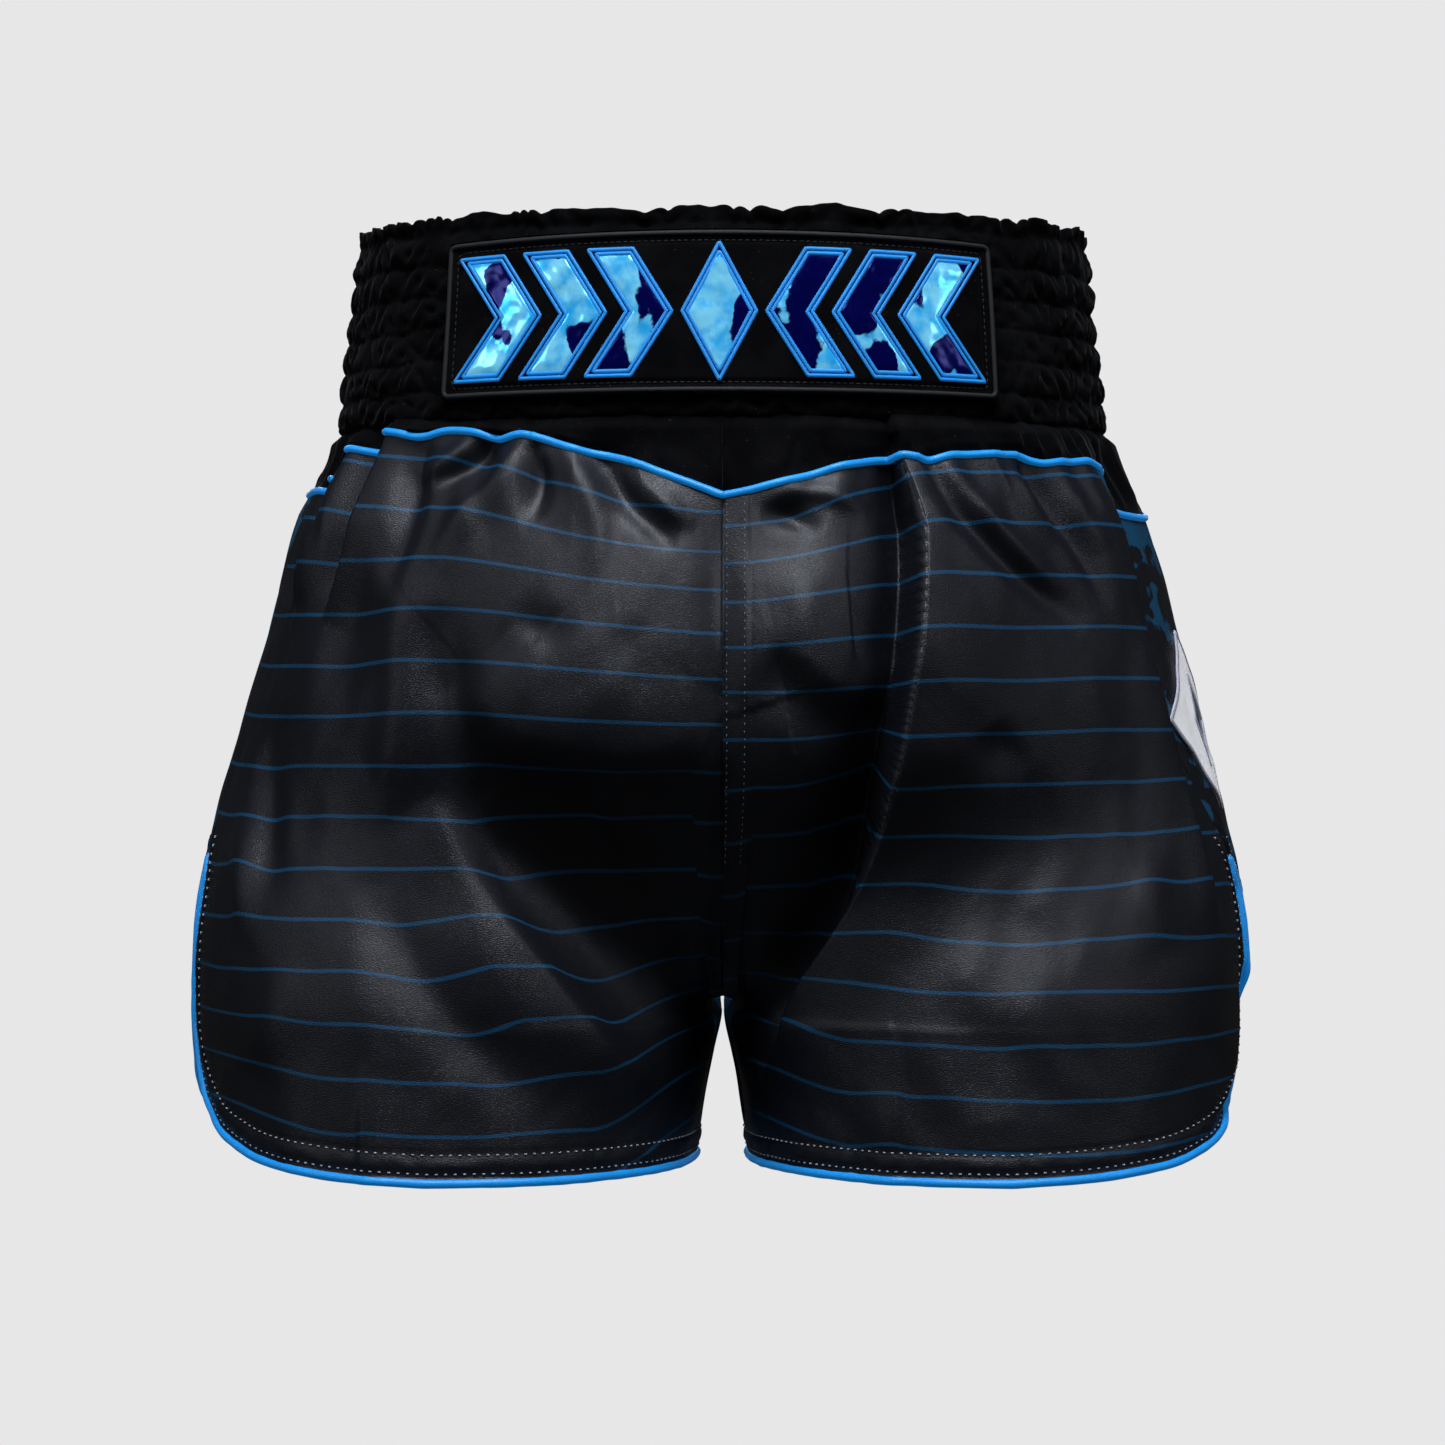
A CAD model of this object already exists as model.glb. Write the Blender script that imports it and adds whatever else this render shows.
"""Looks of a pair of Thai boxing shorts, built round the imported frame.

Sizes are in millimetres in the row's frame, and meshes are written in metres. A level is a depth below the
band's top edge. A place on the cloth is a level and an angle: -90 degrees at the centre back, 0 at the widest
line of the side and +90 at the centre front, on the left (side -1) or the right (side +1).
"""
import logging
import math
from dataclasses import dataclass, field
from enum import Enum

import bpy
import numpy as np
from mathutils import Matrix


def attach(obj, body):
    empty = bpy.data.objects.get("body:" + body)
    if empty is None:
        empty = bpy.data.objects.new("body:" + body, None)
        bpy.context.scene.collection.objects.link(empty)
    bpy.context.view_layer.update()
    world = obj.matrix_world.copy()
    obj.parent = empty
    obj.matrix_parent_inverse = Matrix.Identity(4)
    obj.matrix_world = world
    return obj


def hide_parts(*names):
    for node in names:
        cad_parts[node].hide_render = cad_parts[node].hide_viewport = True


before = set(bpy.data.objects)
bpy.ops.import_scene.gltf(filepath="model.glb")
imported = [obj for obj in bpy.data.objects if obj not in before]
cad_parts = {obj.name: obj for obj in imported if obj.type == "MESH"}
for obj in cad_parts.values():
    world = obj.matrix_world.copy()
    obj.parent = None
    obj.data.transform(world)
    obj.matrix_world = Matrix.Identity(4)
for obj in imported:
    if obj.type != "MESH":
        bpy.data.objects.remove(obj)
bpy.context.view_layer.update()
LOG = logging.getLogger("shorts")
MM = 0.001
HALF_PI = math.pi / 2.0
ROUND = 120.0  # millimetres of cloth in a radian of angle, about
SEAM_LEVEL = 95.0  # depth of the yoke seam, about; searches for it start here
Array = np.ndarray


class Face(Enum):
    """Which half of the garment a panel belongs to; the value is the sign of its centre angle."""

    BACK = -1
    FRONT = 1


class Side(Enum):
    """The wearer's side; the value is the sign of x."""

    LEFT = -1
    RIGHT = 1


# ---------------------------------------------------------------- numbers


def smoothstep(low: float, high: float, at: Array) -> Array:
    """An S curve from 0 at low to 1 at high: 3t^2 - 2t^3 of the clipped share t.

    Args:
        low: where the curve leaves 0.
        high: where it reaches 1.
        at: the places to evaluate.

    Returns:
        The curve's value at each place.
    """
    share = np.clip((at - low) / (high - low), 0.0, 1.0)
    return share * share * (3.0 - 2.0 * share)


def through(knots: tuple, values: tuple, at: Array) -> Array:
    """A smooth curve through given values: cubic Hermite spans with tangents from each knot's neighbours.

    Args:
        knots: rising places.
        values: the value at each place.
        at: the places to evaluate; beyond the ends the curve keeps its end values.

    Returns:
        The curve's value at each place.
    """
    x, y = np.asarray(knots, float), np.asarray(values, float)
    slope = np.gradient(y, x)
    at = np.clip(at, x[0], x[-1])
    i = np.clip(np.searchsorted(x, at) - 1, 0, len(x) - 2)
    span = x[i + 1] - x[i]
    t = (at - x[i]) / span
    start = (1 + 2 * t) * (1 - t) ** 2 * y[i] + t * (1 - t) ** 2 * span * slope[i]
    end = t * t * (3 - 2 * t) * y[i + 1] + t * t * (t - 1) * span * slope[i + 1]
    return start + end


@dataclass(frozen=True)
class Waves:
    """Smooth random waves over a plane: a seeded table of values, blended by S curves between its cells.

    Attributes:
        seed: picks the table.
        size: cells along each side before the pattern repeats.
    """

    seed: int
    size: int = 64

    def __call__(self, x: Array, y: Array) -> Array:
        """Returns the waves' height, from -1 to 1, at places given in cells."""
        table = np.random.default_rng(self.seed).uniform(-1.0, 1.0, (self.size, self.size))
        i, j = np.floor(x).astype(int), np.floor(y).astype(int)
        sx, sy = smoothstep(0.0, 1.0, x - i), smoothstep(0.0, 1.0, y - j)
        i0, j0 = i % self.size, j % self.size
        i1, j1 = (i + 1) % self.size, (j + 1) % self.size
        near = table[i0, j0] * (1 - sx) + table[i1, j0] * sx
        far = table[i0, j1] * (1 - sx) + table[i1, j1] * sx
        return near * (1 - sy) + far * sy


def unit(vectors: Array) -> Array:
    """Vectors scaled to length one."""
    return vectors / np.maximum(np.linalg.norm(vectors, axis=-1, keepdims=True), 1e-12)


# ---------------------------------------------------------------- meshes


def mesh_piece(name: str, points: Array, faces: Array, finish: "Finish", uv: Array | None = None) -> bpy.types.Object:
    """Makes a mesh object from arrays of points in millimetres and faces of equal size.

    Args:
        name: the piece's name.
        points: N by 3 points.
        faces: M by 3 or 4 indices, seen anticlockwise from outside.
        finish: the finish that it wears.
        uv: N by 2 cloth coordinates in metres, one for each point.

    Returns:
        The object, at the origin, with smooth faces.
    """
    mesh = bpy.data.meshes.new(name)
    mesh.from_pydata((np.asarray(points).reshape(-1, 3) * MM).tolist(), [], np.asarray(faces).tolist())
    if uv is not None:
        layer = mesh.uv_layers.new(name="Cloth")
        corners = np.asarray(faces).reshape(-1)
        layer.data.foreach_set("uv", np.asarray(uv, np.float32).reshape(-1, 2)[corners].ravel())
    mesh.polygons.foreach_set("use_smooth", np.ones(len(mesh.polygons), bool))
    mesh.materials.append(finish.material())
    mesh.update()
    piece = bpy.data.objects.new(name, mesh)
    bpy.context.scene.collection.objects.link(piece)
    return piece


def grid_faces(rows: int, columns: int, wrap_rows: bool = False, wrap_columns: bool = False) -> Array:
    """Quads of a grid whose point (row, column) has index row * columns + column.

    Args:
        rows: points down the grid.
        columns: points across it.
        wrap_rows: joins the last row to the first.
        wrap_columns: joins the last column to the first.

    Returns:
        M by 4 indices.
    """
    r = np.arange(rows if wrap_rows else rows - 1)[:, None]
    c = np.arange(columns if wrap_columns else columns - 1)[None, :]
    below, right = (r + 1) % rows, (c + 1) % columns
    quads = np.stack([r * columns + c, below * columns + c, below * columns + right, r * columns + right], -1)
    return quads.reshape(-1, 4)


def grid_normals(points: Array, outward: Array) -> Array:
    """Unit normals of a grid of points: the cross product of its two gradients.

    Args:
        points: rows by columns by 3.
        outward: a rough outward direction at each point, which settles the normals' sign.

    Returns:
        Normals of the same shape.
    """
    normal = unit(np.cross(np.gradient(points, axis=1), np.gradient(points, axis=0)))
    return normal * np.sign((normal * outward).sum(-1, keepdims=True))


def outward_faces(points: Array, faces: Array, outward: Array) -> Array:
    """Turns a grid's faces round if they look inwards.

    Args:
        points: rows by columns by 3.
        faces: the grid's quads.
        outward: a rough outward direction at each point.

    Returns:
        The faces, all facing outwards.
    """
    flat, way = points.reshape(-1, 3), outward.reshape(-1, 3)
    a, b, c = flat[faces[:, 0]], flat[faces[:, 1]], flat[faces[:, 3]]
    facing = (np.cross(b - a, c - a) * way[faces[:, 0]]).sum()
    return faces if facing > 0 else faces[:, ::-1]


def slab(front: Array, normal: Array, thick: float) -> tuple[Array, Array]:
    """A closed slab below a grid: the grid, its copy thick below, and a strip round the edge.

    Args:
        front: rows by columns by 3 points of the outer face.
        normal: unit normals there.
        thick: the slab's thickness in millimetres.

    Returns:
        Its points and faces, facing outwards.
    """
    rows, columns = front.shape[:2]
    back = front - normal * thick
    points = np.concatenate([front.reshape(-1, 3), back.reshape(-1, 3)])
    top = outward_faces(front, grid_faces(rows, columns), normal)
    count = rows * columns
    ring = np.concatenate([
        np.arange(columns), np.arange(1, rows) * columns + columns - 1,
        (rows - 1) * columns + np.arange(columns - 2, -1, -1), np.arange(rows - 2, 0, -1) * columns,
    ])
    onward = np.roll(ring, -1)
    strip = np.stack([ring, ring + count, onward + count, onward], -1)
    turned = not np.array_equal(top, grid_faces(rows, columns))
    strip = strip[:, ::-1] if turned else strip
    return points, np.concatenate([top, top[:, ::-1] + count, strip])


def tube(path: Array, up: Array, wide: Array | float, high: Array | float, around: int = 10,
         closed: bool = False) -> tuple[Array, Array]:
    """A rounded tube along a path: an ellipse carried along it, wide across and high along up, with domed ends.

    Args:
        path: N by 3 points.
        up: N by 3 unit vectors that stand away from the cloth.
        wide: half width at each point, or one for all.
        high: half height at each point, or one for all.
        around: sides of the tube.
        closed: joins the last ring to the first.

    Returns:
        Its points and faces, facing outwards.
    """
    wide, high = np.broadcast_to(wide, len(path)), np.broadcast_to(high, len(path))
    if closed:
        along = unit(np.roll(path, -1, 0) - np.roll(path, 1, 0))
    else:
        along = unit(np.gradient(path, axis=0))
        cap = np.array([0.0, 0.55, 0.85])
        first = path[0] - along[0] * wide[0] * (1 - cap)[:, None]
        last = path[-1] + along[-1] * wide[-1] * (1 - cap[::-1])[:, None]
        path = np.concatenate([first, path, last])
        up = np.concatenate([np.repeat(up[:1], 3, 0), up, np.repeat(up[-1:], 3, 0)])
        along = np.concatenate([np.repeat(along[:1], 3, 0), along, np.repeat(along[-1:], 3, 0)])
        swell = np.sqrt(1 - (1 - np.array([0.06, 0.55, 0.85])) ** 2)
        wide = np.concatenate([wide[0] * swell, wide, wide[-1] * swell[::-1]])
        high = np.concatenate([high[0] * swell, high, high[-1] * swell[::-1]])
    across = unit(np.cross(along, up))
    stand = np.cross(across, along)
    turn = np.linspace(0, 2 * math.pi, around, endpoint=False)
    ring = path[:, None] + across[:, None] * (np.cos(turn)[None, :, None] * wide[:, None, None])
    ring = ring + stand[:, None] * (np.sin(turn)[None, :, None] * high[:, None, None])
    faces = grid_faces(len(path), around, wrap_rows=closed, wrap_columns=True)
    faces = outward_faces(ring, faces, ring - path[:, None])
    points = ring.reshape(-1, 3)
    if closed:
        return points, faces
    ends = np.stack([np.arange(around), (len(path) - 1) * around + np.arange(around)])
    middles = points[ends].mean(1)
    hub = np.full(around, len(points))
    first_fan = np.stack([ends[0], np.roll(ends[0], -1), hub, hub], -1)
    last_fan = np.stack([np.roll(ends[1], -1), ends[1], hub + 1, hub + 1], -1)
    return np.concatenate([points, middles]), np.concatenate([faces, first_fan, last_fan])


def joined(parts: list[tuple[Array, Array]]) -> tuple[Array, Array]:
    """Several meshes as one: their points in a row, and their faces moved along to match."""
    starts = np.cumsum([0] + [len(points) for points, _faces in parts[:-1]])
    points = np.concatenate([points for points, _faces in parts])
    return points, np.concatenate([faces + start for (_points, faces), start in zip(parts, starts)])


def tidy_mesh(piece: bpy.types.Object) -> None:
    """Turns fans that were written as quads with a doubled corner into triangles."""
    piece.data.validate(clean_customdata=False)


# ---------------------------------------------------------------- finishes


class Nodes:
    """A material's node tree, built by short calls."""

    def __init__(self, name: str) -> None:
        """Starts a material with only its output and a Principled shader."""
        self.material = bpy.data.materials.new(name)
        self.material.use_nodes = True
        self.tree = self.material.node_tree
        self.tree.nodes.clear()
        self.shader = self.add("ShaderNodeBsdfPrincipled")
        out = self.add("ShaderNodeOutputMaterial")
        self.link(self.shader.outputs["BSDF"], out.inputs["Surface"])

    def add(self, kind: str, **settings: object) -> bpy.types.Node:
        """Adds a node; settings are its properties, or its inputs where a name is an input's."""
        node = self.tree.nodes.new(kind)
        for key, value in settings.items():
            if hasattr(node, key):
                setattr(node, key, value)
            else:
                node.inputs[key.replace("_", " ")].default_value = value
        return node

    def link(self, source: bpy.types.NodeSocket, target: bpy.types.NodeSocket) -> None:
        """Joins two sockets."""
        self.tree.links.new(source, target)

    def math(self, operation: str, first: object, second: object = 0.0) -> bpy.types.NodeSocket:
        """Adds a Math node fed by sockets or numbers.

        Args:
            operation: the node's operation.
            first: a socket or a number.
            second: a socket or a number.

        Returns:
            The result's socket.
        """
        node = self.add("ShaderNodeMath", operation=operation)
        for socket, value in zip(node.inputs, (first, second)):
            if isinstance(value, bpy.types.NodeSocket):
                self.link(value, socket)
            else:
                socket.default_value = value
        return node.outputs[0]

    def mix(self, share: bpy.types.NodeSocket, first: object, second: object) -> bpy.types.NodeSocket:
        """Adds a colour Mix node.

        Args:
            share: 0 for the first colour and 1 for the second.
            first: a colour or a socket.
            second: a colour or a socket.

        Returns:
            The mixed colour's socket.
        """
        node = self.add("ShaderNodeMix", data_type="RGBA")
        self.link(share, node.inputs["Factor"])
        for socket, value in zip((node.inputs[6], node.inputs[7]), (first, second)):
            if isinstance(value, bpy.types.NodeSocket):
                self.link(value, socket)
            else:
                socket.default_value = (*value, 1.0)
        return node.outputs[2]

    def coordinates(self, source: str = "Object") -> bpy.types.NodeSocket:
        """The Object coordinates, or the piece's own cloth coordinates where source is "UV"."""
        return self.add("ShaderNodeTexCoord").outputs[source]

    def noise(self, where: bpy.types.NodeSocket, scale: float, detail: float = 2.0,
              stretch: tuple = (1.0, 1.0, 1.0)) -> bpy.types.NodeSocket:
        """Adds a Noise texture on coordinates stretched by three factors, and gives its value."""
        mapping = self.add("ShaderNodeMapping", Scale=stretch)
        self.link(where, mapping.inputs["Vector"])
        node = self.add("ShaderNodeTexNoise", Scale=scale, Detail=detail)
        self.link(mapping.outputs[0], node.inputs["Vector"])
        return node.outputs["Fac"]

    def ramp(self, value: bpy.types.NodeSocket, low: float, high: float) -> bpy.types.NodeSocket:
        """Stretches low..high to 0..1, smoothly."""
        node = self.add("ShaderNodeMapRange", interpolation_type="SMOOTHSTEP")
        self.link(value, node.inputs["Value"])
        node.inputs["From Min"].default_value, node.inputs["From Max"].default_value = low, high
        return node.outputs["Result"]

    def bump(self, height: bpy.types.NodeSocket, distance: float, strength: float = 1.0,
             under: bpy.types.NodeSocket | None = None) -> bpy.types.NodeSocket:
        """Adds a Bump node over another, and feeds it to the shader.

        Args:
            height: heights from 0 to 1.
            distance: metres that 1 stands for.
            strength: how much of it counts.
            under: the normal to start from.

        Returns:
            The new normal's socket.
        """
        node = self.add("ShaderNodeBump", Distance=distance, Strength=strength)
        self.link(height, node.inputs["Height"])
        if under is not None:
            self.link(under, node.inputs["Normal"])
        self.link(node.outputs[0], self.shader.inputs["Normal"])
        return node.outputs[0]

    def set(self, **values: object) -> None:
        """Sets the shader's own sockets, named with underscores for spaces."""
        for key, value in values.items():
            self.shader.inputs[key.replace("_", " ")].default_value = value

    def colour(self, socket: bpy.types.NodeSocket) -> None:
        """Feeds the shader's base colour."""
        self.link(socket, self.shader.inputs["Base Color"])

    def roughness(self, socket: bpy.types.NodeSocket) -> None:
        """Feeds the shader's roughness."""
        self.link(socket, self.shader.inputs["Roughness"])


@dataclass(frozen=True)
class Finish:
    """A finish, made into one material on its first use.

    Attributes:
        name: the material's name.
    """

    name: str

    @property
    def label(self) -> str:
        """The material's name, which sets it apart from the CAD's plain one of the same slot."""
        return f"{self.name}_finish"

    def material(self) -> bpy.types.Material:
        """Returns the finish's material, and makes it the first time."""
        return bpy.data.materials.get(self.label) or self.make()

    def make(self) -> bpy.types.Material:
        """Builds the material."""
        raise NotImplementedError


@dataclass(frozen=True)
class Velvet(Finish):
    """Short dense pile: almost no gloss, a grey bloom where it is seen edge on, and stray lint.

    Attributes:
        dark: colour deep in the pile.
        bloom: how strongly the pile's tips catch light.
    """

    dark: tuple = (0.0009, 0.0009, 0.0011)
    bloom: float = 0.07

    def make(self) -> bpy.types.Material:
        """Builds the material."""
        n = Nodes(self.label)
        where = n.coordinates()
        n.set(Sheen_Weight=self.bloom, Sheen_Roughness=0.30, Sheen_Tint=(0.60, 0.60, 0.64, 1.0),
              Specular_IOR_Level=0.05)
        brushed = n.noise(where, 55.0, 4.0)
        lint = n.ramp(n.noise(where, 900.0, 1.0), 0.74, 0.80)
        lighter = tuple(4.0 * c for c in self.dark)
        base = n.mix(n.ramp(brushed, 0.35, 0.75), self.dark, lighter)
        n.colour(n.mix(n.math("MULTIPLY", lint, 0.25), base, (0.10, 0.10, 0.11)))
        n.roughness(n.math("ADD", n.math("MULTIPLY", brushed, 0.15), 0.8))
        pile = n.bump(n.noise(where, 2600.0, 2.0), 0.00025, 0.7)
        n.bump(n.noise(where, 160.0, 3.0), 0.0006, 0.5, pile)
        return n.material


@dataclass(frozen=True)
class Satin(Finish):
    """Polyester satin: a broad sheen over a fine weave, with thin stripes or blotches printed on it.

    Attributes:
        ground: the cloth's colour.
        stripe: the stripes' colour.
        stripe_pitch: from one stripe to the next, in metres of cloth.
        stripe_width: a stripe's width, in metres.
        blotched: prints ragged blotches and no stripes.
        gloss: roughness of the sheen.
    """

    ground: tuple = (0.0024, 0.0027, 0.0042)
    stripe: tuple = (0.003, 0.054, 0.124)
    stripe_pitch: float = 0.0200
    stripe_width: float = 0.0014
    blotched: bool = False
    gloss: float = 0.43

    def make(self) -> bpy.types.Material:
        """Builds the material."""
        n = Nodes(self.label)
        cloth, where = n.coordinates("UV"), n.coordinates()
        n.set(Specular_IOR_Level=0.43)
        pattern = self.blotches(n, cloth) if self.blotched else self.stripes(n, cloth)
        weave = n.noise(cloth, 1700.0, 2.0, (1.0, 1.5, 1.0))
        speck = n.ramp(weave, 0.34, 0.66)
        ground = n.mix(speck, self.ground, tuple(3.6 * c for c in self.ground))
        n.colour(n.mix(pattern, ground, self.stripe))
        n.roughness(n.math("ADD", n.math("MULTIPLY", speck, -0.20), self.gloss + 0.10))
        fine = n.bump(weave, 0.00022, 1.0)
        n.bump(n.noise(where, 34.0, 3.0), 0.0016, 0.35, fine)
        return n.material

    def stripes(self, n: Nodes, cloth: bpy.types.NodeSocket) -> bpy.types.NodeSocket:
        """Thin lines at an even pitch down the cloth, with slightly feathered edges."""
        split = n.add("ShaderNodeSeparateXYZ")
        n.link(cloth, split.inputs[0])
        waver = n.math("MULTIPLY", n.math("SUBTRACT", n.noise(cloth, 1500.0, 1.0), 0.5), 0.0004)
        down = n.math("ADD", split.outputs[1], waver)
        place = n.math("PINGPONG", down, self.stripe_pitch / 2.0)
        return n.ramp(place, self.stripe_width * 0.62, self.stripe_width * 0.38)

    def blotches(self, n: Nodes, cloth: bpy.types.NodeSocket) -> bpy.types.NodeSocket:
        """Ragged islands of colour, with small dark gaps inside them."""
        large = n.noise(cloth, 38.0, 3.0)
        islands = n.ramp(large, 0.490, 0.515)
        gaps = n.ramp(n.noise(cloth, 90.0, 2.0), 0.58, 0.62)
        return n.math("MULTIPLY", islands, n.math("SUBTRACT", 1.0, gaps))


@dataclass(frozen=True)
class Cord(Finish):
    """Satin wrapped round a cord, or dense stitching: fine slanting threads across its length.

    Attributes:
        tone: the thread's colour.
        gloss: roughness.
        thread: metres from one thread to the next.
        sheen: how strongly its fibres catch light.
        glow: emission that stands in for a dye brighter than the lamps show.
    """

    tone: tuple = (0.007, 0.300, 0.86)
    gloss: float = 0.38
    thread: float = 0.0005
    sheen: float = 0.25
    glow: float = 0.0

    def make(self) -> bpy.types.Material:
        """Builds the material."""
        n = Nodes(self.label)
        where = n.coordinates()
        n.set(Specular_IOR_Level=0.5, Sheen_Weight=self.sheen, Sheen_Roughness=0.35,
              Emission_Color=(*self.tone, 1.0), Emission_Strength=self.glow)
        fibre = n.noise(where, 1.0 / self.thread, 2.0, (1.0, 1.0, 1.7))
        cast = n.noise(where, 60.0, 2.0)
        low, high = tuple(0.62 * c for c in self.tone), tuple(min(1.0, 1.22 * c) for c in self.tone)
        n.colour(n.mix(n.ramp(n.math("ADD", n.math("MULTIPLY", fibre, 0.75), n.math("MULTIPLY", cast, 0.25)),
                              0.3, 0.7), low, high))
        n.roughness(n.math("ADD", n.math("MULTIPLY", fibre, 0.25), self.gloss - 0.1))
        n.bump(fibre, 0.0002, 0.6)
        return n.material


@dataclass(frozen=True)
class Foil(Finish):
    """Mirror film on cloth, softly crumpled: pools of pale cyan and of deep navy with ragged shores.

    Attributes:
        pale: the lit pools' colour.
        middle: the tint inside them.
        deep: the dark pools' colour.
    """

    pale: tuple = (0.22, 0.72, 1.0)
    middle: tuple = (0.02, 0.42, 0.92)
    deep: tuple = (0.0, 0.0010, 0.085)

    def make(self) -> bpy.types.Material:
        """Builds the material."""
        n = Nodes(self.label)
        where = n.coordinates()
        n.set(Metallic=0.5, Specular_IOR_Level=0.3, Coat_Weight=0.08, Coat_Roughness=0.12)
        crumple = n.noise(where, 46.0, 2.2, (1.0, 1.0, 0.55))
        ragged = n.noise(where, 420.0, 2.0)
        shore = n.math("ADD", crumple, n.math("MULTIPLY", n.math("SUBTRACT", ragged, 0.5), 0.035))
        lit = n.ramp(shore, 0.488, 0.500)
        tint = n.mix(n.ramp(n.noise(where, 130.0, 3.0), 0.35, 0.70), self.pale, self.middle)
        n.colour(n.mix(lit, self.deep, tint))
        n.link(n.mix(lit, (0.0, 0.0, 0.03), tint), n.shader.inputs["Emission Color"])
        n.set(Emission_Strength=0.34)
        n.roughness(n.math("ADD", n.math("MULTIPLY", ragged, 0.12), 0.14))
        n.bump(crumple, 0.004, 0.5)
        return n.material


@dataclass(frozen=True)
class Woven(Finish):
    """A plain weave: threads over and under at a small pitch.

    Attributes:
        tone: the cloth's colour.
        pitch: metres from thread to thread.
        gloss: roughness.
        glow: emission that stands in for a white brighter than the lamps show.
    """

    tone: tuple = (0.012, 0.012, 0.013)
    pitch: float = 0.0006
    gloss: float = 0.75
    glow: float = 0.0

    def make(self) -> bpy.types.Material:
        """Builds the material."""
        n = Nodes(self.label)
        where = n.coordinates()
        n.set(Specular_IOR_Level=0.3, Sheen_Weight=0.15, Emission_Color=(*self.tone, 1.0),
              Emission_Strength=self.glow)
        split = n.add("ShaderNodeSeparateXYZ")
        n.link(where, split.inputs[0])
        turn = 2 * math.pi / self.pitch
        level = n.math("SINE", n.math("MULTIPLY", split.outputs[2], turn))
        round_it = n.math("SINE", n.math("MULTIPLY", n.math("ADD", split.outputs[0], split.outputs[1]), turn))
        weave = n.math("ADD", n.math("MULTIPLY", n.math("MULTIPLY", level, round_it), 0.5), 0.5)
        worn = n.noise(where, 70.0, 3.0)
        n.colour(n.mix(n.math("MULTIPLY", n.math("ADD", weave, worn), 0.5), tuple(0.6 * c for c in self.tone),
                       tuple(min(1.0, 1.4 * c) for c in self.tone)))
        n.roughness(n.math("ADD", n.math("MULTIPLY", worn, 0.2), self.gloss - 0.1))
        n.bump(weave, 0.00015, 0.6)
        return n.material


@dataclass(frozen=True)
class Paper(Finish):
    """The studio's seamless paper: plain, pale and evenly bright."""

    tone: tuple = (0.80, 0.80, 0.80)

    def make(self) -> bpy.types.Material:
        """Builds the material."""
        n = Nodes(self.label)
        n.set(Specular_IOR_Level=0.0, Roughness=1.0, Base_Color=(0.0, 0.0, 0.0, 1.0))
        n.set(Emission_Color=(*self.tone, 1.0), Emission_Strength=1.0)
        return n.material


VELVET = Velvet("velvet_black")
STRIPED = Satin("satin_striped")
PRINTED = Satin("satin_printed", stripe=(0.006, 0.070, 0.150), blotched=True)
PIPING = Cord("piping_blue", glow=0.25)
BLUE_THREAD = Cord("thread_blue", tone=(0.008, 0.27, 0.78), gloss=0.5, thread=0.0004, glow=0.22)
CHARCOAL = Cord("thread_charcoal", tone=(0.0035, 0.0035, 0.0042), gloss=0.7, sheen=0.035)
PALE_THREAD = Cord("thread_pale", tone=(0.42, 0.45, 0.50), gloss=0.6)
GREY_THREAD = Cord("thread_grey", tone=(0.16, 0.17, 0.19), gloss=0.6)
DARK_THREAD = Cord("thread_black", tone=(0.005, 0.005, 0.006), gloss=0.65, sheen=0.05)
LILAC_THREAD = Cord("applique_edge", tone=(0.50, 0.49, 0.58), gloss=0.5)
FOIL = Foil("foil_blue")
FACING = Woven("facing_black")
WEBBING = Woven("elastic_black", tone=(0.02, 0.02, 0.02), pitch=0.001)
WHITE_SATIN = Woven("applique_white", tone=(0.86, 0.86, 0.90), pitch=0.0004, gloss=0.45, glow=0.35)
LABEL = Woven("label_white", tone=(0.62, 0.62, 0.62), pitch=0.0004, gloss=0.6)
PAPER = Paper("studio_paper")


# ---------------------------------------------------------------- the cloth's shape


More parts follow.
